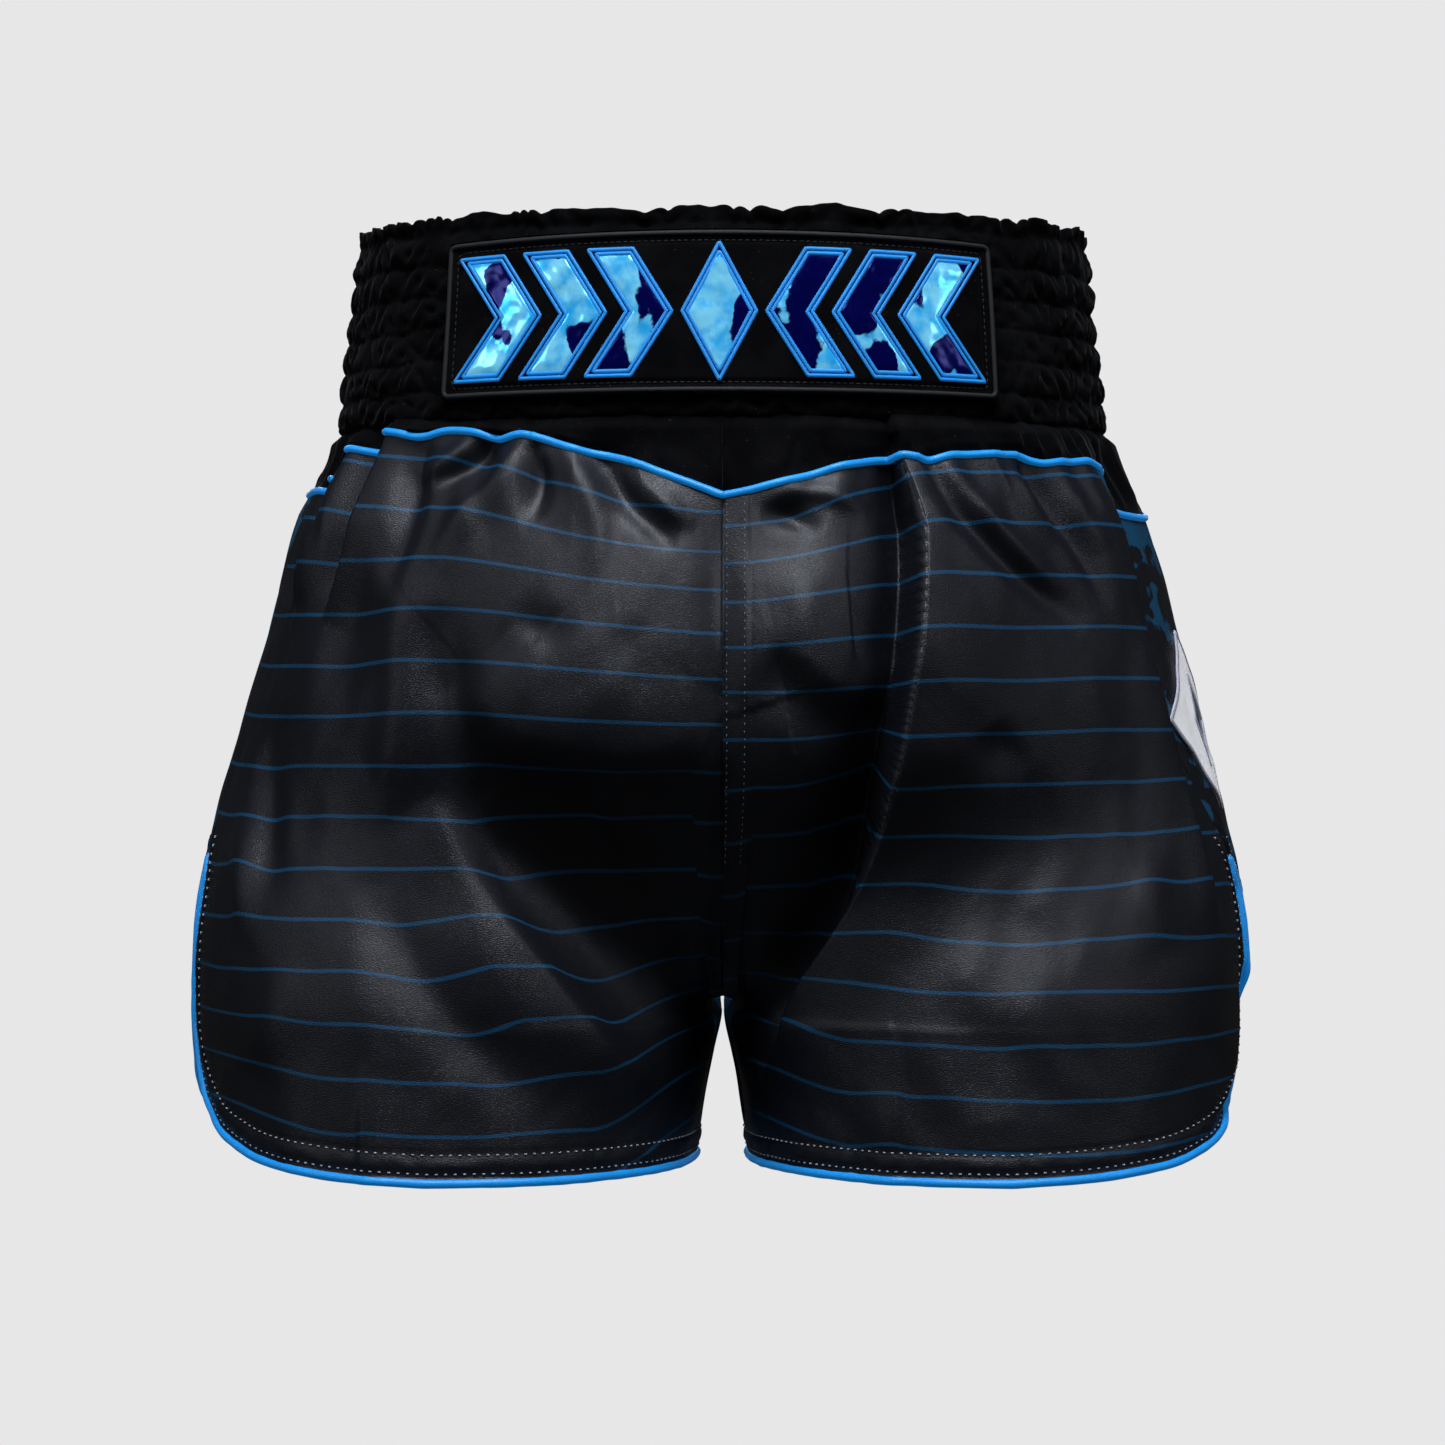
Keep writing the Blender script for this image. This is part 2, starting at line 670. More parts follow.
@dataclass(frozen=True)
class Fold:
    """A ridge or a valley along a smooth line over the cloth, seen from straight behind or in front.

    Its height across the line falls off as exp(-(distance / width)^2), with its own width on each side.

    Attributes:
        line: (x, depth) points that the line passes through.
        height: millimetres outwards at each point; negative for a valley.
        left: width of the flank towards -x for a line drawn downwards.
        right: width of the other flank.
        drop: how deep the hollow under a pleat's sharper flank is, as a share of the height.
        hollow: that hollow's width.
    """

    line: tuple
    height: tuple
    left: float
    right: float
    drop: float = 0.0
    hollow: float = 13.0

    def __call__(self, x: Array, depth: Array) -> Array:
        """Returns the fold's height at each place.

        The nearest point is found on the spans of the line, which is drawn through its points with even steps.
        """
        knots = np.arange(len(self.line), dtype=float)
        steps = np.linspace(0.0, knots[-1], 5 * len(self.line) + 1)
        px = through(tuple(knots), tuple(p[0] for p in self.line), steps)
        py = through(tuple(knots), tuple(p[1] for p in self.line), steps)
        tall = through(tuple(knots), self.height, steps)
        reach = 3.0 * max(self.left, self.right, self.hollow * (self.drop > 0))
        result = np.zeros(x.shape)
        near = (x > px.min() - reach) & (x < px.max() + reach)
        near &= (depth > py.min() - reach) & (depth < py.max() + reach)
        if not near.any():
            return result
        qx, qy = x[near][:, None], depth[near][:, None]
        ax, ay, bx, by = px[:-1], py[:-1], np.diff(px), np.diff(py)
        share = np.clip(((qx - ax) * bx + (qy - ay) * by) / np.maximum(bx * bx + by * by, 1e-9), 0.0, 1.0)
        away = np.hypot(qx - ax - share * bx, qy - ay - share * by)
        pick = away.argmin(1)
        row = np.arange(len(pick))
        share, away = share[row, pick], away[row, pick]
        turn = bx[pick] * (qy[:, 0] - ay[pick]) - by[pick] * (qx[:, 0] - ax[pick])
        width = np.where(turn > 0, self.left, self.right)
        rise = tall[:-1][pick] * (1 - share) + tall[1:][pick] * share
        under = self.drop * (width < max(self.left, self.right))
        hollow = under * np.exp(-((away / self.hollow) ** 2))
        result[near] = rise * ((1 + under) * np.exp(-((away / width) ** 2)) - hollow)
        return result


@dataclass(frozen=True)
class Form:
    """The smooth shape that the shorts take on a wearer: half a trunk oval closing into a leg oval on each side.

    Attributes:
        levels: depths of the stations below.
        half_widths: outside half widths at the stations.
        half_depths: outside half depths at the stations.
        fork_level: depth where the trunk starts to close into legs.
        crotch_level: depth where it has closed.
        hem_level: depth of the hem.
        thigh: half width, half depth and gap to the centre plane at the crotch.
        hem: the same three at the hem.
    """

    levels: tuple = (0.0, 80.0, 120.0, 160.0, 190.0, 250.0, 314.0, 380.0)
    half_widths: tuple = (149.0, 158.0, 176.0, 186.0, 194.0, 207.0, 215.0, 213.0)
    half_depths: tuple = (105.0, 111.0, 118.0, 122.5, 124.0, 114.0, 110.0, 112.0)
    fork_level: float = 200.0
    crotch_level: float = 314.0
    hem_level: float = 374.0
    thigh: tuple = (106.0, 110.0, 3.0)
    hem: tuple = (102.5, 113.0, 8.0)

    def closure(self, level: Array, angle: Array) -> Array:
        """How far the trunk has closed into a leg, from 0 to 1.

        At the centre seam it is one less the height of a quarter circle, and away from it an S curve.
        """
        share = np.clip((level - self.fork_level) / (self.crotch_level - self.fork_level), 0.0, 1.0)
        seam = 1.0 - np.sqrt(np.maximum(0.0, 1.0 - share * share))
        gentle = share * share * (3.0 - 2.0 * share)
        return gentle + (seam - gentle) * (np.abs(angle) / HALF_PI) ** 4

    def outline(self, level: Array, angle: Array, side: int) -> Array:
        """Points of the smooth shape.

        Args:
            level: depths.
            angle: angles in radians.
            side: -1 or +1.

        Returns:
            Points in millimetres, with z up.
        """
        wide = through(self.levels, self.half_widths, level)
        deep = through(self.levels, self.half_depths, level)
        share = np.clip((level - self.crotch_level) / (self.hem_level - self.crotch_level), 0.0, 1.2)
        half, leg_deep, gap = (a + (b - a) * share for a, b in zip(self.thigh, self.hem))
        closed = self.closure(level, angle)
        parted = through((0.0, 308.0, 316.0, 330.0, 345.0, 374.0), (-0.3, -0.3, 0.4, 3.4, 6.4, 10.5), level)
        apart = parted + (gap - parted) * smoothstep(HALF_PI, 0.9, np.abs(angle))
        x = (1 - closed) * wide * np.cos(angle) + closed * (apart + half + half * np.cos(2 * angle))
        y = (1 - closed) * deep * np.sin(angle) + closed * leg_deep * np.sin(2 * angle)
        return np.stack([side * x, y, -level + 0.0 * x], -1)

    def angle_at(self, level: Array, y: Array) -> Array:
        """The angle near the side where the shape has a given y, by a few Newton steps.

        Args:
            level: depths.
            y: the y wanted, in millimetres.

        Returns:
            Angles in radians.
        """
        angle = np.arcsin(np.clip(y / 125.0, -0.95, 0.95))
        for _ in range(8):
            here = self.outline(level, angle, 1)[..., 1]
            slope = (self.outline(level, angle + 1e-3, 1)[..., 1] - here) / 1e-3
            angle = angle - np.clip((here - y) / np.maximum(slope, 20.0), -0.2, 0.2)
        return angle


@dataclass(frozen=True)
class Drape:
    """How the cloth hangs on the form: the folds at the back, those at the front, and small gathers.

    Attributes:
        form: the smooth shape.
        back: folds seen from behind.
        front: folds seen from in front.
        gather: waves for the gathers under the yoke seam.
        crease: waves for the small creases.
        roll: how far the cloth beside the right vent is rolled in.
        roll_from: x of the outer side of the leg, where that roll is.
    """

    form: Form
    back: tuple
    front: tuple
    gather: Waves = Waves(11)
    crease: Waves = Waves(23)
    roll: float = 5.5
    roll_from: float = 110.0

    def seam_offset(self, level: Array, side: int) -> Array:
        """How far the side seam lies behind the widest line, which the twist of the hang moves back on the right."""
        if side > 0:
            return through((80.0, 120.0, 160.0, 205.0, 240.0, 262.0), (51.0, 54.0, 55.0, 50.0, 37.0, 25.0), level)
        return through((80.0, 120.0, 200.0, 250.0), (24.0, 19.0, 16.0, 20.0), level)

    def height(self, smooth: Array, angle: Array) -> Array:
        """How far the cloth stands out of the form.

        Args:
            smooth: points of the form.
            angle: their angles.

        Returns:
            Millimetres along the form's normal.
        """
        x, depth = smooth[..., 0], -smooth[..., 2]
        behind = smoothstep(0.12, -0.22, angle)
        result = np.zeros(x.shape)
        for folds, weight in ((self.back, behind), (self.front, 1.0 - behind)):
            total = np.zeros(x.shape)
            for fold in folds:
                total += fold(x, depth)
            result += total * weight
        seat = np.hypot((np.abs(x) - 56.0) / 46.0, (depth - 158.0) / 36.0)
        result += behind * 5.0 * np.exp(-(seat**2))
        under = np.hypot((np.abs(x) - 66.0) / 62.0, (depth - 244.0) / 34.0)
        result -= behind * (4.6 - 1.2 * np.sign(x)) * np.exp(-(under**2))
        along = through((318.0, 330.0, 341.0, 354.5), (0.0, 6.0, 15.0, 33.0), depth)
        seam, outer = self.seam_offset(depth, 1), x > self.roll_from
        inward = -smooth[..., 1] - seam - along
        rolled = outer & (-smooth[..., 1] > seam)
        result -= self.roll * rolled * smoothstep(17.0, 1.0, inward) * smoothstep(290.0, 304.0, depth) * smoothstep(
            357.0, 343.0, depth)
        forward = smooth[..., 1] + seam
        result -= self.roll * (outer & ~rolled) * smoothstep(75.0, 25.0, forward) * smoothstep(294.0, 312.0, depth)
        around = angle * ROUND + np.sign(x) * 400.0
        top = np.exp(-(((depth - 94.0) / 24.0) ** 2)) * smoothstep(78.0, 92.0, depth)
        wander = 5.0 * self.crease(around / 40.0, depth / 34.0)
        result += 2.3 * top * self.gather((around + wander) / 8.0 + 0.02 * depth, depth / 60.0)
        result -= 2.2 * top * np.abs(self.gather((around + wander) / 15.0 + 9.0, depth / 70.0)) ** 0.7
        body = smoothstep(90.0, 130.0, depth)
        swirl = 14.0 * self.crease(around / 70.0 + 5.0, depth / 60.0 + 9.0)
        result += 1.0 * body * self.crease((around + swirl) / 21.0 + depth / 90.0, (depth + swirl) / 70.0)
        result += 0.6 * body * self.crease((around - swirl) / 10.0 - depth / 60.0 + 17.0,
                                           (depth + swirl) / 40.0 + 40.0)
        return result + 0.35 * body * self.crease(around / 7.0 - depth / 50.0, depth / 14.0 + 30.0)

    def place(self, level: Array, angle: Array, side: int, lift: Array | float = 0.0) -> Array:
        """Points of the draped cloth: the form's points moved along the form's normals.

        Args:
            level: depths.
            angle: angles in radians.
            side: -1 or +1.
            lift: further millimetres outwards.

        Returns:
            Points in millimetres.
        """
        level, angle = np.broadcast_arrays(np.asarray(level, float), np.asarray(angle, float))
        smooth = self.form.outline(level, angle, side)
        turned = self.form.outline(level, angle + 0.02, side) - self.form.outline(level, angle - 0.02, side)
        lowered = self.form.outline(level + 2.0, angle, side) - self.form.outline(level - 2.0, angle, side)
        normal = unit(np.cross(turned, lowered)) * -side
        crotch = np.abs(np.abs(angle) - HALF_PI) < 0.06
        flat = np.stack([np.zeros_like(angle), np.sign(angle), np.zeros_like(angle)], -1)
        legs = level > self.form.crotch_level - 8.0
        inward = np.stack([np.full_like(angle, -side), np.zeros_like(angle), np.zeros_like(angle)], -1)
        edge = np.where(legs[..., None], inward, flat)
        normal = np.where(crotch[..., None], edge, normal)
        return smooth + normal * (self.height(smooth, angle) + lift)[..., None]

    def frame_at(self, level: Array, angle: Array, side: int, lift: float = 0.0) -> tuple[Array, Array]:
        """Points of the cloth and its outward unit normals there, from points a little round and below.

        Args:
            level: depths.
            angle: angles in radians.
            side: -1 or +1.
            lift: further millimetres outwards along the cloth's own normal.

        Returns:
            The points and the normals.
        """
        at = self.place(level, angle, side)
        turned = self.place(level, angle + 0.006, side) - self.place(level, angle - 0.006, side)
        lowered = self.place(level + 0.8, angle, side) - self.place(level - 0.8, angle, side)
        normal = unit(np.cross(turned, lowered)) * -side
        return at + normal * lift, normal


BACK_FOLDS = (
    # left: the seat's full lower edge with the hollow under it, and what breaks it up
    Fold(((-98, 176), (-88, 188), (-70, 199), (-36, 205), (-8, 197)), (0.5, 4.0, 6.0, 6.0, 1.0),
         18.0, 34.0, 0.9, 30.0),
    Fold(((-80, 154), (-67, 161), (-56, 168)), (0.0, -2.4, 0.0), 7.0, 8.0),
    Fold(((-38, 212), (-43, 232), (-34, 254)), (0.5, 4.5, 0.5), 6.0, 15.0),
    Fold(((-22, 262), (-14, 280), (-10, 300)), (0.0, 2.6, 0.0), 9.0, 7.0),
    # left: the long upright ridge and its flanks
    Fold(((-119, 100), (-121, 130), (-124, 175), (-127, 216), (-136, 258)), (0.5, 2.6, 3.6, 3.6, 0.0), 9.0, 10.0),
    Fold(((-138, 118), (-142, 140), (-149, 175), (-152, 206)), (0.0, -3.4, -2.6, 0.0), 9.0, 8.0),
    Fold(((-106, 150), (-107, 176), (-99, 210), (-89, 246)), (0.0, -4.2, -4.2, -2.0), 9.0, 12.0),
    # left: the diagonal roll across the leg and the valleys beside it
    Fold(((-116, 226), (-104, 243), (-78, 284), (-50, 320), (-26, 346)), (0.0, 5.5, 8.0, 6.5, 0.0),
         20.0, 9.0, 0.6, 14.0),
    Fold(((-94, 232), (-66, 258), (-42, 290), (-20, 326)), (-1.0, -5.0, -6.0, 0.0), 12.0, 15.0),
    Fold(((-130, 262), (-112, 296), (-92, 321), (-64, 350)), (0.0, -3.6, -4.0, 0.0), 12.0, 12.0),
    Fold(((-150, 262), (-146, 284), (-142, 306), (-140, 330)), (0.0, 1.4, 1.2, 0.0), 11.0, 12.0),
    Fold(((-186, 222), (-190, 252), (-187, 286)), (0.0, 3.6, 0.0), 4.5, 7.0),
    Fold(((-176, 186), (-180, 210), (-180, 240), (-176, 268)), (0.0, -2.6, -2.8, 0.0), 5.0, 6.0),
    Fold(((-170, 286), (-176, 312), (-184, 334)), (0.0, 3.0, 0.0), 8.0, 12.0),
    Fold(((-136, 330), (-137, 352), (-137, 372)), (0.5, 1.6, 1.6), 2.5, 12.0),
    # left: knife pleats, the inner layer over the outer
    Fold(((-130, 84), (-137, 105), (-148, 134), (-158, 156)), (5.0, 6.5, 5.0, 0.0), 1.1, 14.0, 1.2, 9.0),
    Fold(((-149, 90), (-157, 112), (-167, 134), (-172, 150)), (4.0, 5.0, 4.0, 0.0), 1.1, 10.0, 1.0, 8.0),
    Fold(((-118, 92), (-120, 108), (-124, 128), (-128, 148)), (-1.0, -4.5, -4.0, 0.0), 6.5, 5.5),
    # left: short creases that hang from the seam
    Fold(((-76, 90), (-88, 104), (-104, 122), (-112, 140)), (2.0, 4.4, 2.4, 0.0), 5.0, 9.0),
    Fold(((-88, 88), (-100, 98), (-112, 106)), (-2.0, -4.4, 0.0), 4.0, 5.0),
    Fold(((-96, 86), (-108, 96), (-120, 102)), (1.0, 3.0, 0.0), 4.0, 4.0),
    Fold(((-72, 92), (-70, 104), (-72, 120)), (-2.0, -4.0, 0.0), 5.0, 3.5),
    Fold(((-58, 95), (-50, 108), (-46, 124), (-48, 142)), (1.5, 3.6, 2.4, 0.0), 6.0, 5.0),
    Fold(((-44, 98), (-36, 112), (-24, 124), (-16, 128)), (-1.5, -4.6, -3.0, 0.0), 4.5, 4.5),
    Fold(((-32, 101), (-22, 113), (-10, 122)), (1.0, 3.4, 0.0), 4.0, 6.0),
    # right: the seat's lower edge, its notch, and the small creases by the fell
    Fold(((3, 188), (11, 174), (21, 165), (32, 171), (44, 181), (56, 180), (66, 168)),
         (0.5, 3.0, 4.5, 5.0, 5.0, 3.5, 0.0), 11.0, 26.0, 0.9, 22.0),
    Fold(((12, 112), (28, 108), (44, 110), (58, 116)), (0.0, 2.8, 2.4, 0.0), 4.0, 5.0),
    Fold(((14, 118), (26, 118), (38, 124)), (0.0, -3.6, 0.0), 4.0, 4.5),
    Fold(((26, 130), (30, 150), (28, 168)), (0.0, 2.4, 0.0), 9.0, 8.0),
    # right: the long pleat, with the deep hollow on its inner side
    Fold(((68, 92), (73, 110), (75, 127), (72, 171), (65, 218), (55, 254), (44, 278), (30, 303), (16, 338)),
         (2.5, 6.5, 8.0, 8.5, 8.5, 8.0, 7.0, 5.0, 0.5), 1.4, 34.0, 2.2, 14.0),
    Fold(((52, 104), (56, 140), (50, 190), (40, 236), (28, 270)), (0.0, -2.5, -5.0, -5.0, 0.0), 12.0, 12.0),
    # right: the diagonal valleys from the pleat's head, and the second pleat
    Fold(((80, 98), (84, 108), (93, 120), (110, 137), (127, 150), (142, 158)), (-3.0, -6.0, -6.0, -4.5, -2.5, 0.0),
         5.0, 5.5),
    Fold(((88, 100), (98, 116), (116, 134), (134, 146)), (1.0, 3.6, 3.0, 0.0), 5.5, 5.0),
    Fold(((118, 97), (127, 110), (140, 131), (150, 152)), (-3.0, -5.5, -3.5, 0.0), 3.5, 5.5),
    Fold(((110, 96), (117, 108), (128, 128)), (1.0, 3.2, 0.0), 6.0, 3.0),
    Fold(((132, 98), (140, 114), (148, 130)), (0.5, 2.6, 0.0), 5.0, 4.0),
    Fold(((102, 196), (108, 206), (118, 214)), (0.0, -2.6, 0.0), 9.0, 7.0),
    Fold(((100, 262), (116, 276), (138, 286)), (0.0, -2.2, 0.0), 18.0, 12.0),
    Fold(((88, 296), (98, 320), (104, 348)), (0.0, -2.4, 0.0), 12.0, 12.0),
    Fold(((166, 240), (166, 262), (172, 288)), (0.0, 3.4, 0.0), 9.0, 9.0),
    Fold(((66, 318), (67, 344), (66, 372)), (0.5, 2.0, 1.4), 12.0, 2.5),
    # right: the striped layer's folded edge over the printed one
    Fold(((149, 97), (158, 128), (163, 150), (172, 190), (184, 232), (192, 262), (196, 280)),
         (3.0, 4.5, 4.5, 4.0, 3.5, 2.5, 0.0), 16.0, 2.0, 0.6, 9.0),
    # the centre seam lies in a valley that deepens towards the crotch
    Fold(((-2, 112), (-2, 150), (0, 200), (1, 250), (1, 312)), (-1.0, -3.0, -5.5, -7.0, -4.0), 7.0, 9.0),
)

FRONT_FOLDS = (
    Fold(((0, 112), (0, 160), (0, 220), (0, 300)), (-1.0, -2.5, -4.0, -3.0), 8.0, 8.0),
    Fold(((-60, 92), (-66, 130), (-74, 176), (-84, 224)), (2.0, 5.0, 4.0, 0.0), 5.0, 10.0),
    Fold(((-48, 94), (-52, 130), (-58, 170)), (-1.5, -4.0, 0.0), 6.0, 6.0),
    Fold(((-104, 90), (-116, 126), (-126, 170), (-130, 230)), (2.0, 4.5, 4.0, 0.0), 5.0, 12.0),
    Fold(((-26, 226), (-60, 262), (-92, 300), (-110, 344)), (0.0, 4.5, 5.0, 0.0), 10.0, 12.0),
    Fold(((-30, 250), (-56, 286), (-78, 322)), (0.0, -4.0, 0.0), 10.0, 10.0),
    Fold(((-140, 250), (-150, 300), (-152, 350)), (0.0, 3.0, 0.5), 12.0, 14.0),
    Fold(((50, 94), (58, 128), (68, 172), (76, 214)), (2.0, 4.5, 4.0, 0.0), 10.0, 5.0),
    Fold(((88, 90), (92, 126), (100, 168)), (-1.5, -4.0, 0.0), 7.0, 7.0),
    Fold(((118, 92), (128, 132), (138, 184), (140, 240)), (2.0, 5.0, 4.0, 0.0), 12.0, 5.0),
    Fold(((22, 230), (52, 258), (84, 296), (104, 346)), (0.0, 4.5, 5.5, 0.0), 12.0, 10.0),
    Fold(((26, 252), (50, 288), (70, 326)), (0.0, -4.0, 0.0), 10.0, 10.0),
    Fold(((146, 258), (156, 300), (156, 350)), (0.0, 3.0, 0.5), 12.0, 12.0),
    Fold(((10, 150), (40, 166), (70, 170)), (0.0, 2.2, 0.0), 12.0, 10.0),
    Fold(((-12, 156), (-44, 168), (-72, 166)), (0.0, 2.2, 0.0), 12.0, 10.0),
)


@dataclass(frozen=True)
class YokeSeam:
    """The yoke's lower edge: a V behind, rising to crests and stepping down at the pleats near the sides.

    Attributes:
        left: (distance from the centre, depth) points behind on the left.
        right: the same on the right.
        front: the same in front, on both sides.
    """

    left: tuple = (((0, 109.5), (25, 100), (43, 93.8), (57, 91.3), (68, 87.5), (77, 85.2), (86, 86.2), (96, 83.6),
                    (106, 82.6), (118, 84.8), (127, 83.2), (132, 82.8)),
                   ((132, 88.6), (140, 88.2), (150, 88.6)), ((150, 100.4), (160, 101.2), (172, 103)))
    right: tuple = (((0, 109.5), (8, 108), (26, 103.7), (48, 97.4), (70, 93.6), (78, 95.4), (88, 93.4), (104, 92.4),
                     (116, 92.0), (125, 94.6), (136, 93.6), (146, 94.4), (151, 97)),
                    ((151, 108.5), (158, 111.5), (172, 114)))
    front: tuple = (((0, 108), (30, 99), (62, 91), (90, 87.5), (118, 87), (144, 93), (162, 101), (172, 106)),)

    def depth(self, x: Array, behind: Array) -> Array:
        """The seam's depth at each x, behind or in front; both meet at the side.

        Args:
            x: signed distances from the centre.
            behind: 1 behind, 0 in front, and between them near the side.

        Returns:
            Depths in millimetres.
        """
        far = np.abs(x)
        rear = np.where(x < 0, self.curve(self.left, far), self.curve(self.right, far))
        return rear * behind + self.curve(self.front, far) * (1.0 - behind)

    @staticmethod
    def curve(runs: tuple, at: Array) -> Array:
        """A smooth curve through the (distance, depth) points of each run, with a step where the next one starts."""
        result = np.zeros(np.shape(at))
        for run in runs:
            line = through(tuple(p[0] for p in run), tuple(p[1] for p in run), at)
            result = np.where(at >= run[0][0], line, result)
        return result


@dataclass
class Pattern:
    """Where each panel's edges run on the cloth, from its sizes.

    Attributes:
        drape: the draped cloth.
        seam: the yoke's lower edge.
        vent_level: depth of the vents' tops.
        vent_slit: half a vent's width.
        width: a panel's width along the cloth, about.
        sweep: how the vent's edge sweeps into the hem: distances from it along the cloth, and depths there.
    """

    drape: Drape
    seam: YokeSeam = field(default_factory=YokeSeam)
    vent_level: float = 250.0
    vent_slit: float = 3.0
    width: float = 330.0
    sweep: tuple = ((0.0, 6.0, 15.0, 33.0, 60.0, 100.0, 150.0), (318.0, 330.0, 341.0, 354.5, 364.0, 369.3, 372.0))

    def top(self, angle: Array, side: int) -> Array:
        """Depth of the yoke seam at each angle, found by a few rounds, because the seam's x depends on its depth."""
        level = np.full(np.shape(angle), SEAM_LEVEL)
        behind = smoothstep(0.25, -0.25, angle)
        for _ in range(4):
            x = self.drape.form.outline(level, angle, side)[..., 0]
            level = self.seam.depth(x, behind)
        return level

    def side_angle(self, level: Array, face: Face, side: int, inset: float = 0.0) -> Array:
        """The angle of a panel's side edge: the side seam, and below its end the vent's edge.

        Args:
            level: depths.
            face: back or front.
            side: -1 or +1.
            inset: millimetres into the panel.

        Returns:
            Angles in radians.
        """
        open_by = self.vent_slit * smoothstep(self.vent_level, self.vent_level + 8.0, level) + inset
        y = -self.drape.seam_offset(level, side) + face.value * open_by
        return self.drape.form.angle_at(level, y)

    def spot(self, u: Array, level: Array, face: Face, side: int, inset: float = 0.0) -> Array:
        """The angle that lies u of the way from the centre to the side edge at a level."""
        centre = face.value * HALF_PI
        return centre + (self.side_angle(level, face, side, inset) - centre) * u

    def bottom(self, u: Array) -> Array:
        """The hem's depth at u: level, and rising in a long bow to the vent's straight edge."""
        return through(self.sweep[0], self.sweep[1], (1.0 - u) * self.width)

    def columns(self, plain: int, swept: int) -> Array:
        """Shares across a panel: even ones over its plain part, then closer ones over its swept corner."""
        reach = 0.6 * self.sweep[0][-1] / self.width
        return np.concatenate([np.linspace(0.0, 1.0 - reach, plain, endpoint=False),
                               np.linspace(1.0 - reach, 1.0, swept)])

    def rim(self, inset: float, top: float) -> Array:
        """The free edge laid flat, moved into the cloth by an inset.

        Args:
            inset: millimetres into the cloth.
            top: depth where it starts.

        Returns:
            Points of (distance from the vent's edge, depth), down the vent and along the hem to the centre.
        """
        reach = self.sweep[0][-1]
        down = np.linspace(top, self.sweep[1][0], 40, endpoint=False)
        swept = np.linspace(0.0, reach, 90, endpoint=False)
        along = np.linspace(reach, self.width - 0.5, 90)
        flat = np.concatenate([
            np.stack([0.0 * down, down], -1),
            np.stack([swept, self.bottom(1.0 - swept / self.width)], -1),
            np.stack([along, np.full(90, self.sweep[1][-1])], -1),
        ])
        tangent = unit(np.gradient(flat, axis=0))
        tangent = unit(tangent + np.roll(tangent, 1, 0) * (np.arange(len(flat)) > 0)[:, None])
        return flat + inset * np.stack([tangent[:, 1], -tangent[:, 0]], -1)

    def edge(self, face: Face, side: int, inset: float, step: float,
             start: float | None = None) -> tuple[Array, Array]:
        """The line round a panel's free edge at an inset: down the vent, round the corner and along the hem.

        Args:
            face: back or front.
            side: -1 or +1.
            inset: millimetres in from the edge.
            step: millimetres between its points, about.
            start: depth where it starts; the vent's top where left out.

        Returns:
            Levels and angles of its points.
        """
        flat = self.rim(inset, self.vent_level + 1.0 if start is None else start)
        (flat,) = evenly(flat, step=step)
        level = flat[:, 1]
        return level, self.spot(1.0 - flat[:, 0] / self.width, level, face, side)


def evenly(path: Array, *others: Array, step: float) -> tuple[Array, ...]:
    """Spaces a line's points evenly along it.

    Args:
        path: N by 3 points.
        others: arrays of N rows that are carried along.
        step: millimetres between the new points.

    Returns:
        The new points, and the other arrays at them.
    """
    run = np.concatenate([[0.0], np.cumsum(np.linalg.norm(np.diff(path, axis=0), axis=1))])
    count = max(2, int(run[-1] / step) + 1)
    at = np.linspace(0.0, run[-1], count)
    pieces = []
    for values in (path, *others):
        flat = values.reshape(len(values), -1)
        new = np.stack([np.interp(at, run, column) for column in flat.T], -1)
        pieces.append(new.reshape(count, *values.shape[1:]))
    return tuple(pieces)


def stitches(path: Array, normal: Array, pitch: float, length: float, thick: float) -> tuple[Array, Array]:
    """A row of stitches: a short six-sided bead for each, half sunk in the cloth.

    Args:
        path: points of the seam line.
        normal: outward unit normals there.
        pitch: millimetres from stitch to stitch.
        length: a stitch's length.
        thick: its thickness.

    Returns:
        Points and faces of them all.
    """
    path, normal = evenly(path, normal, step=pitch)
    along = unit(np.gradient(path, axis=0))
    across = unit(np.cross(along, normal))
    spans = np.array([-0.5, -0.3, 0.3, 0.5]) * length
    swell = np.array([0.35, 1.0, 1.0, 0.35]) * thick / 2.0
    turn = np.linspace(0, 2 * math.pi, 6, endpoint=False)
    ring = np.cos(turn)[:, None, None] * across[None] + np.sin(turn)[:, None, None] * normal[None]
    ring = ring.transpose(1, 0, 2)
    dip = np.array([-0.3, 0.12, 0.12, -0.3]) * thick
    centre = path[:, None] + along[:, None] * spans[None, :, None] + normal[:, None] * dip[None, :, None]
    points = centre[:, :, None] + ring[:, None] * swell[None, :, None, None]
    one = grid_faces(4, 6, wrap_columns=True)
    caps = np.array([[0, 1, 2, 3], [3, 4, 5, 0], [21, 20, 19, 18], [18, 23, 22, 21]])
    one = np.concatenate([outward_faces(points[0], one, points[0] - centre[0][:, None]), caps])
    starts = np.arange(len(path)) * 24
    return points.reshape(-1, 3), (one[None] + starts[:, None, None]).reshape(-1, 4)


# ---------------------------------------------------------------- the pieces


def finish_piece(piece: bpy.types.Object, slot: str, *nodes: str) -> bpy.types.Object:
    """Rides a piece on the one body, and names its slot and the CAD nodes that it stands for.

    Args:
        piece: the piece.
        slot: the record's material slot.
        nodes: CAD nodes.

    Returns:
        The piece.
    """
    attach(piece, "root")
    if nodes:
        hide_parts(*nodes)
    LOG.info("%s: %d faces", piece.name, len(piece.data.polygons))
    return piece


def dress(name: str, finish: Finish) -> None:
    """Gives a CAD node a finish in place of its plain material."""
    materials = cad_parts[name].data.materials
    materials.clear()
    materials.append(finish.material())


